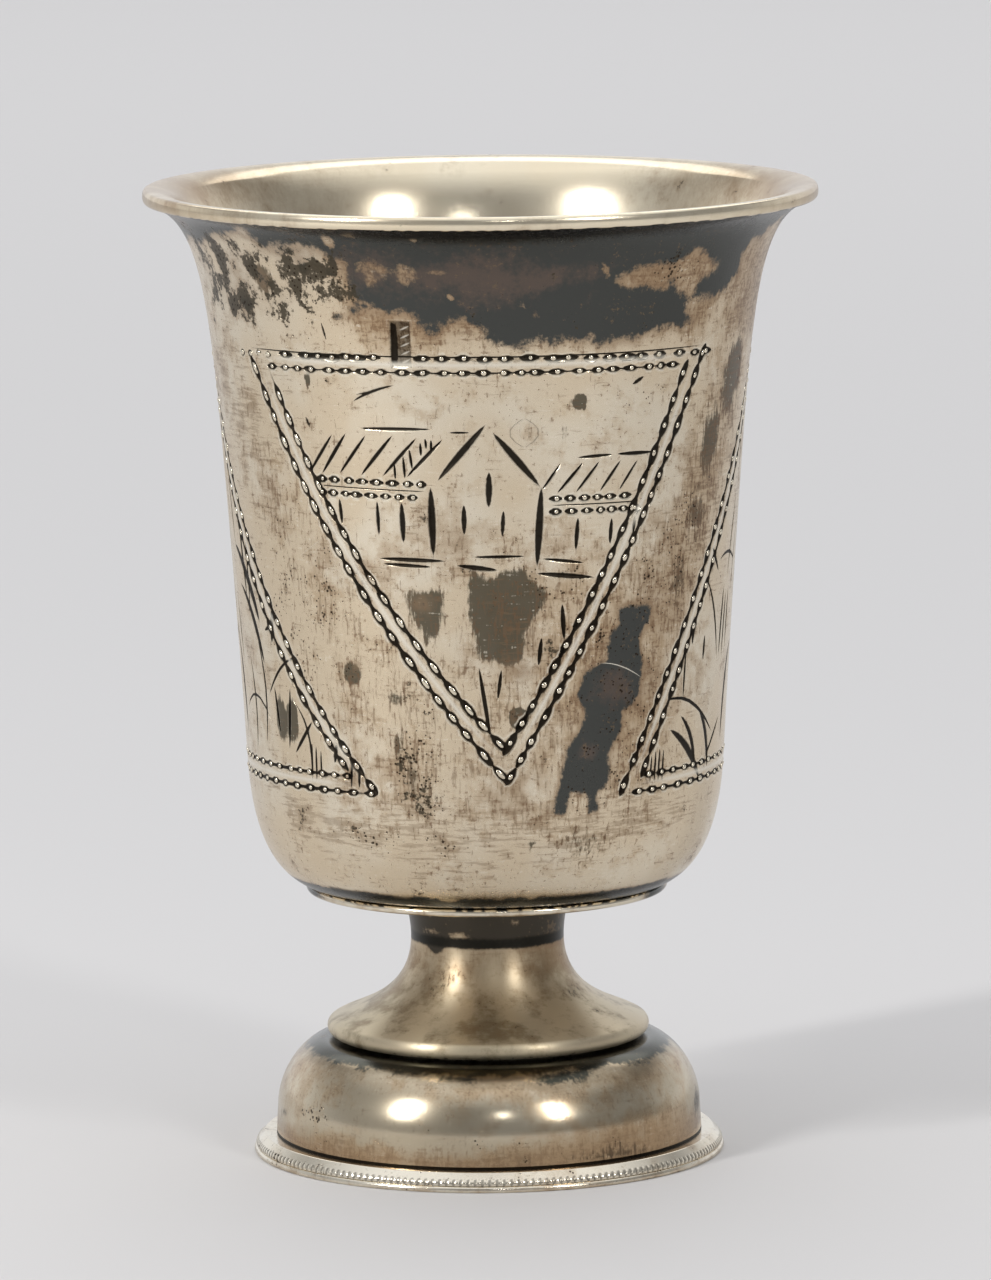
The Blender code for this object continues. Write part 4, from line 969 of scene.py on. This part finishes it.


# Stains, wear and painted shade on the bowl's wall: an outline of places, or the middle, size and lean of a
# spot
bowlStains = {
    "tarnish": [
        blot([(-27, 94.5), (-27, 88), (-25, 86.5), (-28, 85.5), (-27, 85), (-23, 85.5), (-17, 85),
              (-14, 85), (-12, 84), (-10, 83.5), (-8, 84), (-6, 84.5), (-2, 84.5), (0, 84), (1, 82.5),
              (4, 82), (10, 82), (12, 82.5), (15, 82), (18, 82.5), (24, 82), (33, 82), (36, 82.5),
              (40, 83), (45, 83), (49, 83.5), (47, 85), (54, 85.5), (59, 86), (63, 87.5), (63, 89),
              (64, 90.5), (70, 91), (70, 94.5)], 1.4, 0.86),
        ring(92.6, 96, 0.6, 0.98), ring(26, 28.2, 0.4, 0.86),
        spot(-24, 28, 3, 0.5, 0.25, 0.8, clears=True), spot(-11, 28, 3.4, 0.6, 0.25, 0.85, clears=True),
        spot(4, 28, 1.6, 0.5, 0.2, 0.8, clears=True), spot(13, 28, 2.6, 0.5, 0.25, 0.8, clears=True),
        spot(60, 28, 3, 0.6, 0.25, 0.8, clears=True),
        blot([(-100, 94.5), (-95, 90), (-75, 91), (-69, 90.5), (-60, 92), (-50, 92.5), (-46, 92),
              (-45, 91), (-36, 92), (-33, 91.5), (-29, 90.5), (-24, 91), (-20, 94.5)], 1.4),
        blot([(60, 94.5), (64, 91.2), (75, 92.2), (92, 90), (101, 87), (112, 85.4), (124, 86.6),
              (131, 84.2), (143, 83.4), (152, 85.8), (158, 90.2), (170, 91.6), (184, 90.6), (190, 87.8),
              (203, 86.2), (214, 87.6), (222, 90.8), (238, 91.8), (250, 89.4), (262, 91.2), (268, 94.5)],
             1.6),
        blot([(31, 56.5), (41, 56.3), (40.5, 54.6), (37.6, 53.2), (39.2, 50.2), (38.6, 47.6), (34, 46.4),
              (33.4, 44.4), (31, 42.6), (30.6, 40.4), (29.6, 39), (27.6, 38.4), (28, 36.4), (25, 36.4),
              (24.4, 38.6), (20.6, 38.8), (19.6, 36.6), (15.4, 36.6), (17, 39), (18, 41.4), (19, 43),
              (22, 44.8), (23.4, 46.6), (21.6, 48.2), (23, 50.4), (28.4, 51.4), (29.4, 53.6), (32, 54.8)],
             0.7, 0.85),
        blot([(-78, 92.5), (-28, 91.5), (-27, 87), (-38, 85.5), (-48, 83.5), (-62, 83.5), (-74, 86)],
             1.6, 0.26),
        spot(-56, 85.2, 2.4, 2.2, 0.8, 0.6, lean=30), spot(-48.5, 88, 2.4, 3.4, 0.8, 0.52),
        spot(-36.5, 89.7, 1.6, 2.2, 0.5, 0.56), spot(-40.5, 91, 7, 1.8, 0.7, 0.5),
        spot(-30.5, 89, 1.8, 1, 0.4, 0.58), spot(-30, 84.8, 1.8, 1, 0.4, 0.6),
        spot(-14, 57.2, 3, 2.6, 0.9, 0.34), spot(8.6, 50.6, 2.6, 1.6, 0.7, 0.46),
        spot(-30.4, 51.1, 0.9, 1, 0.4, 0.62), spot(152, 56, 5, 9, 1, 0.7, lean=-12),
        spot(149, 47, 3, 4, 0.8, 0.6), spot(228, 64, 3.4, 5, 0.9, 0.6, lean=20),
        spot(-112, 84.5, 5, 4, 0.9, 0.62, lean=10),
        blot([(27, 88), (31, 89.5), (36, 90), (40, 90), (45, 91), (49, 90.6), (54, 89), (55, 87.5),
              (50, 87.4), (47, 85.4), (43, 86.6), (41, 87.5), (40, 86.6), (33, 87), (29, 87.4)],
             1.1, 0.78, clears=True),
        blot([(-24.5, 89.6), (-22, 91.2), (-19, 90.6), (-17.6, 89.4), (-19.6, 88.4), (-21.4, 87.6),
              (-23.6, 88)], 1.1, 0.82, clears=True),
        blot([(-17, 89.4), (-15.4, 90.4), (-12, 89.6), (-11, 88.9), (-14, 88.2), (-16.4, 88)],
             1, 0.8, clears=True),
        spot(-8.6, 89.4, 2, 0.7, 0.4, 0.9, clears=True), spot(-28.6, 92.2, 1, 1.5, 0.5, 0.9, clears=True),
        spot(-23.6, 93.2, 1.2, 0.9, 0.5, 0.9, clears=True),
        spot(-48, 92.6, 2.4, 1.8, 0.8, 0.7, clears=True), spot(8, 86.2, 0.9, 0.8, 0.5, 0.7, clears=True),
        spot(11, 85.2, 1, 0.9, 0.5, 0.75, clears=True), spot(17, 84.6, 1, 0.8, 0.5, 0.7, clears=True),
        spot(24.6, 89.3, 0.9, 1.6, 0.4, 0.8, lean=25, clears=True),
        spot(-12, 92.6, 0.5, 0.5, 0.3, 0.8, clears=True), spot(-6, 87, 0.5, 0.5, 0.3, 0.8, clears=True),
        spot(22.4, 83.1, 1.3, 0.7, 0.4, 0.6, clears=True),
    ],
    "film": [
        blot([(-3.6, 59.4), (-2.4, 60.5), (1, 59.9), (4.8, 60.6), (8.2, 60.8), (10.6, 59.4),
              (13.8, 58.6), (13.2, 57), (10.8, 55.8), (9.2, 54.6), (8.8, 51.8), (5.8, 51.3), (2, 51.9),
              (-1.2, 51.8), (-2, 53.8), (-3.2, 55.4), (-4, 57.2)], 0.9),
        blot([(-17.4, 58.4), (-13, 58.9), (-9, 58.7), (-8.6, 56.2), (-10.6, 54.2), (-13.4, 53.2),
              (-15, 55), (-17, 56.4)], 1.2, 0.9),
        spot(7.8, 46.2, 2.2, 2.2, 0.4), spot(-31.8, 50.2, 2.3, 2.2, 0.5, 0.9),
        spot(-21, 48, 2.6, 2, 0.9, 0.66), spot(-20.6, 43.6, 1.6, 4, 0.8, 0.66),
        spot(-17.4, 40.6, 1.8, 5, 0.8, 0.6), spot(-12, 39, 1.6, 4, 0.8, 0.55),
        spot(-39.4, 78.5, 0.8, 1.5, 0.3), spot(21, 76.6, 1.7, 1.7, 0.3, 0.9),
        spot(17.2, 73.6, 2, 2.8, 0.5, 0.46), spot(11.1, 33.8, 1.2, 1.1, 0.4, 0.9),
        spot(-56.4, 44.9, 2.2, 4.6, 0.5, 0.9, lean=8), spot(-51.8, 44.9, 2.4, 4.9, 0.5, 0.9, lean=-6),
        spot(-48.4, 88, 3, 3.6, 1, 0.85), spot(68, 77.5, 4.4, 8, 1.8, 0.85, lean=-12),
        spot(59, 71.6, 3.4, 6.4, 1.5, 0.95, lean=-14), spot(55, 65, 5, 9, 2.6, 0.6, lean=-18),
        spot(49, 58, 5, 9, 2.6, 0.56, lean=-18), spot(24, 33.5, 8, 5, 2.4, 0.55),
        spot(110, 60, 5, 8, 1.6, 0.75), spot(176, 54, 7, 8, 1.4, 0.85, lean=8),
        spot(200, 57, 4, 5, 1.2, 0.7), spot(-128, 60, 4, 7, 1.4, 0.8, lean=14),
        spot(-102, 44, 3, 4, 1, 0.75),
    ],
    "haze": [
        blot([(-4, 60.5), (12, 60.5), (14, 58.4), (9.6, 52.8), (5, 50.8), (-1, 54)], 1.5, 0.5),
        blot([(-66, 80), (-58, 80), (-49, 73), (-39, 67), (-28, 58), (-15, 51), (-6, 45), (2, 38),
              (-12, 36), (-24, 39), (-32, 41), (-43, 50), (-55, 60), (-66, 72)], 4, 0.3),
        blot([(-12, 50), (2, 48), (14, 52), (24, 60), (30, 55), (34, 46), (42, 36), (30, 31), (0, 33),
              (-14, 35)], 4, 0.3),
        blot([(61, 81), (53, 73), (44, 64), (33, 54), (42, 44), (52, 52), (62, 60), (72, 69), (82, 80),
              (76, 83)], 3, 0.6),
        blot([(52, 91), (58, 84), (60, 80), (90, 80), (96, 93)], 3, 0.8),
        blot([(-30, 92), (-30, 84), (-22, 82), (52, 82), (62, 86), (60, 92)], 2, 0.85),
        blot([(-14, 62), (18, 62), (14, 50), (5, 42), (-6, 50)], 3, 0.32),
        spot(30, 49, 15, 26, 4, 0.66, lean=28), spot(-20, 41, 8, 9, 3, 0.42),
        spot(140, 60, 20, 40, 6, 0.7, lean=-20), spot(225, 62, 18, 36, 6, 0.6, lean=20),
        spot(180, 46, 30, 18, 6, 0.55), spot(-110, 78, 26, 16, 6, 0.45),
    ],
    "streaky": [
        blot([(-60, 72), (-40, 66), (-24, 55), (-16, 60), (20, 60), (34, 62), (56, 74), (66, 78),
              (74, 70), (50, 48), (30, 34), (-30, 34), (-46, 48), (-58, 60)], 5, 0.6),
        spot(180, 48, 50, 36, 6, 0.8), spot(130, 66, 24, 40, 5, 0.8, lean=-24),
        spot(230, 66, 24, 40, 5, 0.8, lean=24),
    ],
    "lined": [
        blot([(-64, 38), (-20, 37.6), (20, 37), (50, 38), (60, 34), (20, 32), (-50, 32)], 2),
        spot(-62, 74, 12, 14, 4, 0.9, lean=-20), spot(60, 67, 14, 16, 5, 0.6),
        blot([(100, 38), (180, 37), (260, 38), (260, 32), (100, 32)], 2, 0.8),
    ],
    # painted shade under the lip's roll and round the bowl's foot just above the plate; the two spots
    # darken the hearts of stains
    "shade": [
        blot([(-34, 96), (-33, 93), (-20, 92.6), (0, 92.4), (30, 92.6), (62, 92.8), (76, 93.4), (78, 96)],
             1.2),
        blot([(-80, 96), (-78, 93.6), (-34, 93.6), (-34, 96)], 0.5, 0.9),
        blot([(-50, 27.6), (-20, 27.4), (20, 27.5), (62, 27.5), (62, 28.4), (44, 28.2), (20, 28),
              (-8, 27.9), (-30, 28.3), (-50, 28.4)], 0.3, 0.8),
        spot(30, 48, 7, 12, 2.5, 0.34, lean=28), spot(4, 57.6, 6, 4, 2, 0.3),
    ],
    "plum": [
        blot([(-36, 91), (-20, 91.4), (0, 91.4), (18, 90.8), (27, 89), (22, 86.8), (8, 85.8), (-8, 86.2),
              (-26, 87)], 2.4),
        spot(30, 48.6, 4.5, 4, 1.6, 0.9), spot(25, 42.4, 3, 3, 1.4, 0.7),
        blot([(92, 93), (112, 93), (134, 91), (146, 87.5), (130, 86.5), (110, 88)], 2),
        blot([(186, 93), (206, 93), (224, 92), (212, 89), (198, 88)], 2),
        blot([(-95, 93), (-76, 93.5), (-60, 93.5), (-72, 92)]),
    ],
    "flakes": [
        blot([(-78, 92.5), (-28, 92), (-26, 86.5), (-36, 84), (-48, 82.6), (-72, 83)], 1.8),
        blot([(-23, 43), (-12, 44), (-9, 38), (-14, 35.6), (-22, 38)], 1.5, 0.5),
        blot([(-22, 50), (-14, 50), (-16, 43), (-23, 43)], 1.5, 0.4),
        spot(16, 53, 5, 3, 1.2, 0.8), spot(120, 80, 14, 8, 2, 0.9), spot(205, 44, 10, 9, 2, 0.8),
        spot(-120, 40, 9, 7, 2, 0.7),
    ],
    "specks": [
        blot([(-76, 92), (-28, 91), (-27, 85), (-44, 82.4), (-70, 83)], 2, 0.6),
        blot([(-24, 46), (-12, 47), (-8, 41), (-6, 36), (-18, 36), (-25, 40)], 2, 0.66),
        spot(-28, 33.8, 9, 2.6, 1.2, 0.8), spot(-12, 34, 8, 2.4, 1.2, 0.8),
        blot([(22, 58), (44, 60), (48, 46), (34, 34), (14, 36), (16, 46)], 3, 0.5),
        blot([(44, 68), (56, 66), (54, 56), (40, 54), (38, 60)], 3, 0.7),
        spot(42, 88.4, 4.5, 3, 1, 0.9), spot(-45, 56, 16, 14, 4, 0.6, lean=-40),
        spot(16, 59, 14, 4, 2, 0.7), spot(36, 76, 6, 6, 2, 0.5), spot(180, 60, 60, 34, 8, 0.6),
    ],
}

# the inside is polished, and its lip has toned at both ends
insideToning = (
    spot(-98, 94, 44, 5, 2.5), spot(-138, 90, 26, 14, 5, 0.4),
    spot(98, 94, 36, 5, 2.5), spot(128, 90, 16, 10, 4, 0.5),
)

bowlSilver = agedSilver("worn sterling silver, bowl", {
    "metal": "#dccbb0", "roughness": 0.27, "waves": 0.05, "lines": 0.004})
bowl = makeBowl(bowlSilver)
polished = readValues(bowl.data, "polish")
outerReach, innerReach = 26, 32  # radii that turn angles on the stains into millimetres
paint(bowl.data, bowlStains, outerReach, 1 - polished)
bowlAngles, _, bowlHeights = cylinderPlaces(bowl.data)
toned = stainValues(bowlAngles, bowlHeights, insideToning, innerReach) * polished
storeValues(bowl.data, haze=readValues(bowl.data, "haze") + toned)
triangles = sum(len(polygon.vertices) - 2 for polygon in bowl.data.polygons)
print("bowl:", len(bowl.data.vertices), "points,", triangles, "triangles")


beadLook = {"length": 0.54, "width": 0.5, "height": 0.29, "sunk": 0.06, "uneven": 0.12, "seed": 3}


def beadRows():
    sunk, step = beadLook["sunk"], 0.1
    middles, headings = (np.array([tuple(bead[part]) for bead in beads]) for part in (0, 1))
    places, outward = wall.lift(*middles.T, sunk)
    ahead = wall.lift(*(middles + headings * step).T, sunk)[0]
    return [(tuple(place), Vector(out), (Vector(front) - Vector(place)).normalized(), bead[2])
            for place, out, front, bead in zip(places, outward, ahead, beads)]


beadSilver = agedSilver("rubbed bright silver, beads", {
    "metal": "#e8dec8", "roughness": 0.18, "waves": 0.0, "lines": 0.0,
    "amounts": {"toning": 0.15, "wiped": 0.1, "streaks": 0.1}})
bandBeads = setStuds("bandBeads", beadRows(), beadLook, beadSilver)
print("beads:", len(bandBeads.data.polygons), "faces")


# Foot

# seatGap is how far each shell reaches into its neighbour, so that no slit shows between them, and
# reach is the radius that turns the angles of its stains into millimetres
footShape = {
    "sides": 180, "columnsPerNotch": 4, "seatGap": 0.28, "sharpAngle": 50,
    "rim": {"outer": 23.1, "inner": 19.6, "height": 1.85, "groove": 0.62, "grooveDepth": 0.1,
            "notches": 206, "notchDepth": 0.09, "milled": (0.7, 1.27), "bead": 0.2,
            "slopeStart": 0.5, "slopeRun": 0.54, "slopeRise": 0.52, "flat": (1.08, 1.2), "reach": 23},
    "dome": {"base": 20.9, "waist": 20.75, "wallHeight": 2.55, "height": 9.05, "seat": 15.9,
             "squareness": 1.75, "joint": ((0, -0.13), (0.01, -0.04), (0.02, 0.3)), "steps": 48,
             "hole": 12.4, "wall": 0.7, "reach": 20},
    "stem": {"height": 14.15, "waist": 7.5, "waistHeight": 9.7, "top": 8.35, "disc": 15.8, "roll": 0.8,
             "edge": 1.7, "rollSteps": 18, "rollEnd": (0.3, 1.12), "underside": 1.5, "wall": 0.8,
             "reach": 9},
    "plate": {"radius": 17.7, "thickness": 0.7, "roundness": 0.8, "ledge": (1.2, 1.6), "reach": 17},
}


def rimOutline():
    # from below: a plain bead, a fine groove, the milled swell, and a bright slope up to the dome
    s = footShape["rim"]
    outer, groove, top = s["outer"], s["groove"], s["height"]
    bead = outer - s["bead"]
    points = [(s["inner"], 0.0), (bead, 0.0)]
    points += bend(points[-1], (outer - 0.06, 0.0), (outer, 0.08), (outer, 0.24), 5)
    points += bend(points[-1], (outer, groove - 0.22), (outer - 0.08, groove - 0.08),
                   (bead, groove - 0.03), 5)
    points += [(bead - s["grooveDepth"], groove), (bead, groove + 0.03)]
    points += bend(points[-1], (outer - 0.1, groove + 0.2), (outer - 0.2, groove + 0.5),
                   (outer - 0.46, top - 0.56), 8)
    for share in (0, 0.06, 0.3, 0.6, 0.9, 0.98):
        points.append((outer - s["slopeStart"] - share * s["slopeRun"],
                       top - s["slopeRise"] + share * s["slopeRise"]))
    points += [(outer - inset, top) for inset in s["flat"]]
    return points + [(s["inner"], top), (s["inner"], 0.0)]


def domeOutline():
    s = footShape["dome"]
    outer = [(s["base"], -footShape["seatGap"])]
    outer += [(s["base"] - inset, up) for inset, up in s["joint"]]
    for step in range(s["steps"] + 1):
        angle = math.pi / 2 * step / s["steps"]
        across = max(0.0, math.cos(angle)) ** (2 / s["squareness"])
        up = math.sin(angle) ** (2 / s["squareness"])
        outer.append((s["seat"] + (s["waist"] - s["seat"]) * across,
                      s["wallHeight"] + (s["height"] - s["wallHeight"]) * up))
    inner = innerSide(outer, s["wall"])[2::3]
    loop = outer + [(s["hole"], s["height"]), (s["hole"], s["height"] - s["wall"])] + list(reversed(inner))
    return loop + [(s["base"] - s["wall"], -footShape["seatGap"]), outer[0]]


def stemOutline():
    s = footShape["stem"]
    roll = s["disc"] - s["roll"]
    outer = [(roll - s["underside"], -footShape["seatGap"])]
    for step in range(s["rollSteps"] - 1):
        angle = math.pi * step / s["rollSteps"] - math.pi / 2
        outer.append((roll + s["roll"] * math.cos(angle), s["edge"] / 2 * (1 + math.sin(angle))))
    foot = (roll - s["roll"] * s["rollEnd"][0], s["edge"] * s["rollEnd"][1])
    waist, top = (s["waist"], s["waistHeight"]), (s["top"], s["height"])
    outer.append(foot)
    flare = bend(foot, between(foot, waist, 0.37, 0.15), between(foot, waist, 1.0, 0.32), waist, 40)
    flare += bend(waist, between(waist, top, 0.0, 0.3), between(waist, top, 0.45, 0.8), top, 14)
    inner = [(r - s["wall"], z) for r, z in reversed(flare[::4])]
    end = s["height"] + footShape["seatGap"]
    outer += flare + [(s["top"], end), (s["top"] - s["wall"], end)] + inner
    return outer + [(inner[-1][0], -footShape["seatGap"]), outer[0]]


def plateOutline():
    s = footShape["plate"]
    half, edge, (outside, inside) = s["thickness"] / 2, s["radius"], s["ledge"]
    bulge = half * s["roundness"]
    rounded = [(edge - bulge + bulge * math.cos(a), half + half * math.sin(a))
               for a in (math.pi * (i / 10 - 0.5) for i in range(11))]
    up = s["thickness"] + footShape["seatGap"]
    return [(0, 0.0)] + rounded + [(edge - outside, s["thickness"]), (edge - inside, up), (0, up)]


# Stains and painted shade on the foot, with heights above the table. The dome's cut is the dark line of its
# joint.
stemStains = {
    "tarnish": [
        ring(21, 26.8, 0.35, 0.95), spot(-43, 21.3, 3.2, 2.4, 0.5, 0.75),
        spot(150, 20.6, 9, 3, 0.6, 0.75), spot(-46, 24.4, 1.7, 0.9, 0.3, 0.8, clears=True),
        spot(-21, 25.2, 1.4, 0.8, 0.3, 0.75, clears=True), spot(-44, 22.4, 4, 0.9, 0.5, 0.7, clears=True),
        spot(-20, 22.2, 4, 1, 0.5, 0.7, clears=True), spot(20, 23.6, 2, 1.3, 0.5, 0.6, clears=True),
        spot(120, 24, 5, 1.6, 0.5, 0.8, clears=True), spot(-120, 23.4, 4, 1.8, 0.5, 0.8, clears=True),
    ],
    "film": [
        spot(-30, 18, 5, 5, 1.5, 0.36), spot(60, 16, 6, 4, 1.5, 0.36), ring(10.8, 12, 0.4, 0.4),
    ],
    # painted shade on the stem: a darker ring at its waist and a band at its top under the bowl's plate
    "shade": [ring(20.9, 22.1, 0.35, 0.75), ring(25.2, 26.6, 0.5, 0.7)],
    "haze": [ring(16.5, 23, 2.5, 0.6)],
    "specks": [ring(13, 22, 3, 0.2)],
}

domeStains = {
    "tarnish": [
        # the ring under the stem's disc is tarnish and partly a painted reflection of the disc's shaded
        # underside
        ring(10.3, 12.6, 0.8, 0.85), spot(-44, 10.4, 5, 1, 0.8, 0.6), spot(-12, 10.2, 7, 1, 0.8, 0.8),
        spot(24, 10.1, 8, 1.4, 0.8, 0.8), spot(52, 10.3, 5, 1.2, 0.8, 0.65), spot(110, 9.8, 12, 3, 0.7),
        spot(175, 10, 14, 2.2, 0.6), spot(-118, 10, 12, 2.4, 0.6), spot(160, 4.6, 5, 2.2, 0.6, 0.6),
    ],
    "cut": [ring(1.5, 2.05, 0.02, 0.8)],
    "film": [
        spot(34, 3, 14, 1.7, 0.8, 0.7), spot(-76, 4, 5, 2.5, 0.8, 0.6), spot(80, 5, 5, 3, 1, 0.6),
        spot(-150, 5, 8, 3, 1, 0.65),
    ],
    "haze": [ring(0.8, 3.6, 1, 0.95), spot(44, 4.2, 18, 3.6, 1.4, 0.8), ring(7.4, 11, 1.6, 0.45)],
    "specks": [
        spot(-54, 5.6, 5, 1.8, 0.5), spot(-3, 4.5, 2.4, 0.8, 0.4), spot(9, 4.4, 1, 0.8, 0.3),
        spot(140, 5, 10, 3, 1, 0.8),
    ],
}

plateStains = {
    "tarnish": [spot(70, 26.3, 9, 1.2, 0.4, 0.7), spot(-80, 26.3, 12, 1.2, 0.4, 0.7)],
    "haze": [ring(25.6, 26.1, 0.3, 0.5)],
}

rimStains = {
    "haze": [ring(-0.4, 0.5, 0.3, 0.4)],
    "tarnish": [spot(150, 1, 10, 1.5, 0.4, 0.6)],
    "specks": [ring(0, 1.7, 1, 0.5)],
}


def turnedPiece(name, node, outline, material, stains, reach, **milling):
    sides = footShape["columnsPerNotch"] * milling["notches"] if milling else footShape["sides"]
    piece = turnShell(name, raised(outline, base(node)), sides, material, **milling)
    closeShell(piece, footShape["sharpAngle"])
    paint(piece.data, stains, reach)
    return piece


stemSilver = agedSilver("worn sterling silver, stem", {
    "metal": "#c8b99e", "roughness": 0.42, "waves": 0.04, "lines": 0.002, "spun": 0.75,
    "colours": {"clean": "#ccbfa3", "toning": "#9c8d73", "tarnish": "#4d4840", "bloom": "#5b5047"},
    "amounts": {"toning": 0.85, "wiped": 0.2, "streaks": 0.2, "mottle": 0.12, "scuffs": 0.1,
                "specks": 0.4}})
domeSilver = agedSilver("worn sterling silver, foot", {
    "metal": "#beb199", "roughness": 0.2, "waves": 0.04, "lines": 0.001,
    "colours": {"clean": "#d0c4ad", "tarnish": "#46463e", "halo": "#8d7e68", "bloom": "#6a5f55"},
    "amounts": {"wiped": 0.2, "streaks": 0.25, "mottle": 0.25, "scuffs": 0.15}})
rimSilver = agedSilver("polished sterling silver, rim", {
    "metal": "#e4dccb", "roughness": 0.19, "waves": 0.01, "lines": 0.001,
    "amounts": {"toning": 0.2, "wiped": 0.15, "streaks": 0.15, "mottle": 0.2, "grime": 0.5}})
plateSilver = agedSilver("worn sterling silver, base plate", {
    "metal": "#e2d8c4", "roughness": 0.2, "waves": 0.01, "lines": 0.001,
    "amounts": {"wiped": 0.2, "streaks": 0.2, "mottle": 0.2}})

rimShape = footShape["rim"]
low, high = rimShape["milled"]
milledPoints = [1.0 if low < height < high and radius > rimShape["outer"] - 1.0 else 0.0
                for radius, height in rimOutline()]
footRim = turnedPiece("milledRim", "foot_rim", rimOutline(), rimSilver, rimStains, rimShape["reach"],
                      milled=milledPoints, notches=rimShape["notches"], notchDepth=rimShape["notchDepth"])
footDome = turnedPiece("footDome", "foot_dome", domeOutline(), domeSilver, domeStains,
                       footShape["dome"]["reach"])
stem = turnedPiece("stemSpool", "stem", stemOutline(), stemSilver, stemStains, footShape["stem"]["reach"])
plate = turnedPiece("basePlate", "bowl_base_plate", plateOutline(), plateSilver, plateStains,
                    footShape["plate"]["reach"])

for piece in (footRim, footDome, stem, plate):
    print(piece.name, len(piece.data.polygons), "faces")


# The pieces take the places of the frame's solids
for piece, node, finish in (
        (bowl, "bowl", "bowl_silver"), (bandBeads, "bowl", "bowl_silver"),
        (footRim, "foot_rim", "rim_silver"), (footDome, "foot_dome", "dome_silver"),
        (stem, "stem", "stem_silver"), (plate, "bowl_base_plate", "plate_silver")):
    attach(piece, "root")
    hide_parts(node)


# Table, room and lights

roomLook = {
    "table": "#cecccb", "matt": 0.75, "reach": 4.0,
    "light": "#f8fafe", "horizon": 0.305, "zenith": 1.1, "rise": (0.6, 0.88),
    "backWall": 0.62, "wallSide": (0.1, 0.8), "wallTop": (0.3, 0.62),
    "leftWall": 0.18, "leftSide": (-0.2, -0.9),
    "left": {"azimuth": -50, "elevation": 28, "away": 1.0, "size": (0.072, 0.32), "power": 4.8},
    "right": {"azimuth": 40, "elevation": 28, "away": 1.0, "size": (0.115, 0.32), "power": 2.2},
    "small": {"azimuth": 8, "elevation": 27, "away": 1.0, "size": (0.04, 0.08), "power": 0.2},
    "back": {"azimuth": 180, "elevation": 76, "away": 1.4, "size": (2.2, 1.0), "power": 9.0,
             "target": (0, 1.1, 0)},
}


def makeTable():
    # a plain pale sheet that runs far behind the cup
    reach = roomLook["reach"]
    data = bpy.data.meshes.new("table")
    corners = [(-reach, -reach, 0), (reach, -reach, 0), (reach, reach, 0), (-reach, reach, 0)]
    data.from_pydata(corners, [], [(0, 1, 2, 3)])
    table = meshObject("table", data)
    paper = bpy.data.materials.new("matt pale paper")
    paper.use_nodes = True
    shader = paper.node_tree.nodes["Principled BSDF"]
    shader.inputs["Base Color"].default_value = linear(roomLook["table"])
    shader.inputs["Roughness"].default_value = roomLook["matt"]
    data.materials.append(paper)


def makeLight(name, look):
    data = bpy.data.lights.new(name, "AREA")
    data.shape = "RECTANGLE"
    data.size, data.size_y = look["size"]
    data.energy = look["power"]
    light = meshObject(name, data)
    azimuth, elevation = math.radians(look["azimuth"]), math.radians(look["elevation"])
    level = math.cos(elevation)
    away = Vector((math.sin(azimuth) * level, -math.cos(azimuth) * level, math.sin(elevation)))
    light.location = Vector(look.get("target", (0, 0, 0.05))) + away * look["away"]
    light.rotation_euler = away.to_track_quat("Z", "Y").to_euler()


def makeRoom():
    # a dim room with a bright ceiling, a pale wall behind the cup and a fainter one at its left
    world = bpy.data.worlds.new("room")
    bpy.context.scene.world = world
    world.use_nodes = True
    tree, look = world.node_tree, roomLook
    direction = addNode(tree, "ShaderNodeTexCoord").node.outputs["Generated"]
    split = addNode(tree, "ShaderNodeSeparateXYZ", {0: direction}).node.outputs
    ceiling = addNode(tree, "ShaderNodeMapRange", {
        "Value": split["Z"], "From Min": look["rise"][0], "From Max": look["rise"][1],
        "To Min": look["horizon"], "To Max": look["zenith"]})
    behind = addNode(tree, "ShaderNodeMapRange", {
        "Value": split["Y"], "From Min": look["wallSide"][0], "From Max": look["wallSide"][1]})
    low = addNode(tree, "ShaderNodeMapRange", {
        "Value": split["Z"], "From Min": look["wallTop"][1], "From Max": look["wallTop"][0],
        "To Max": look["backWall"]})
    aside = addNode(tree, "ShaderNodeMapRange", {
        "Value": split["X"], "From Min": look["leftSide"][0], "From Max": look["leftSide"][1],
        "To Max": look["leftWall"]})
    strength = addNode(tree, "ShaderNodeMath", {0: behind, 1: low, 2: ceiling}, operation="MULTIPLY_ADD")
    strength = addNode(tree, "ShaderNodeMath", {0: strength, 1: aside}, operation="ADD")
    tree.links.new(strength, tree.nodes["Background"].inputs["Strength"])
    tree.nodes["Background"].inputs["Color"].default_value = linear(look["light"])


cameraLook = {
    "place": (0, -872.6, 177.5), "down": 8.291, "roll": 0.541, "aside": 0.0704, "lens": 253.7,
    "sensor": 36, "nearest": 50,
}


def makeCamera():
    look = cameraLook
    data = bpy.data.cameras.new("camera")
    data.lens = look["lens"]
    data.sensor_width = look["sensor"]
    camera = meshObject("camera", data)
    camera.location = Vector(look["place"]) * mm
    aside = Matrix.Rotation(math.radians(-look["aside"]), 3, "Z")
    down = Matrix.Rotation(math.radians(90 - look["down"]), 3, "X")
    roll = Matrix.Rotation(math.radians(-look["roll"]), 3, "Z")
    camera.rotation_euler = (aside @ down @ roll).to_euler()
    data.clip_start = look["nearest"] * mm
    bpy.context.scene.camera = camera


makeTable()
for name in ("left", "right", "small", "back"):
    makeLight(name + " light", roomLook[name])
makeRoom()
makeCamera()
bpy.context.scene.view_settings.view_transform = "Standard"
print("table, room, lights and camera in place")
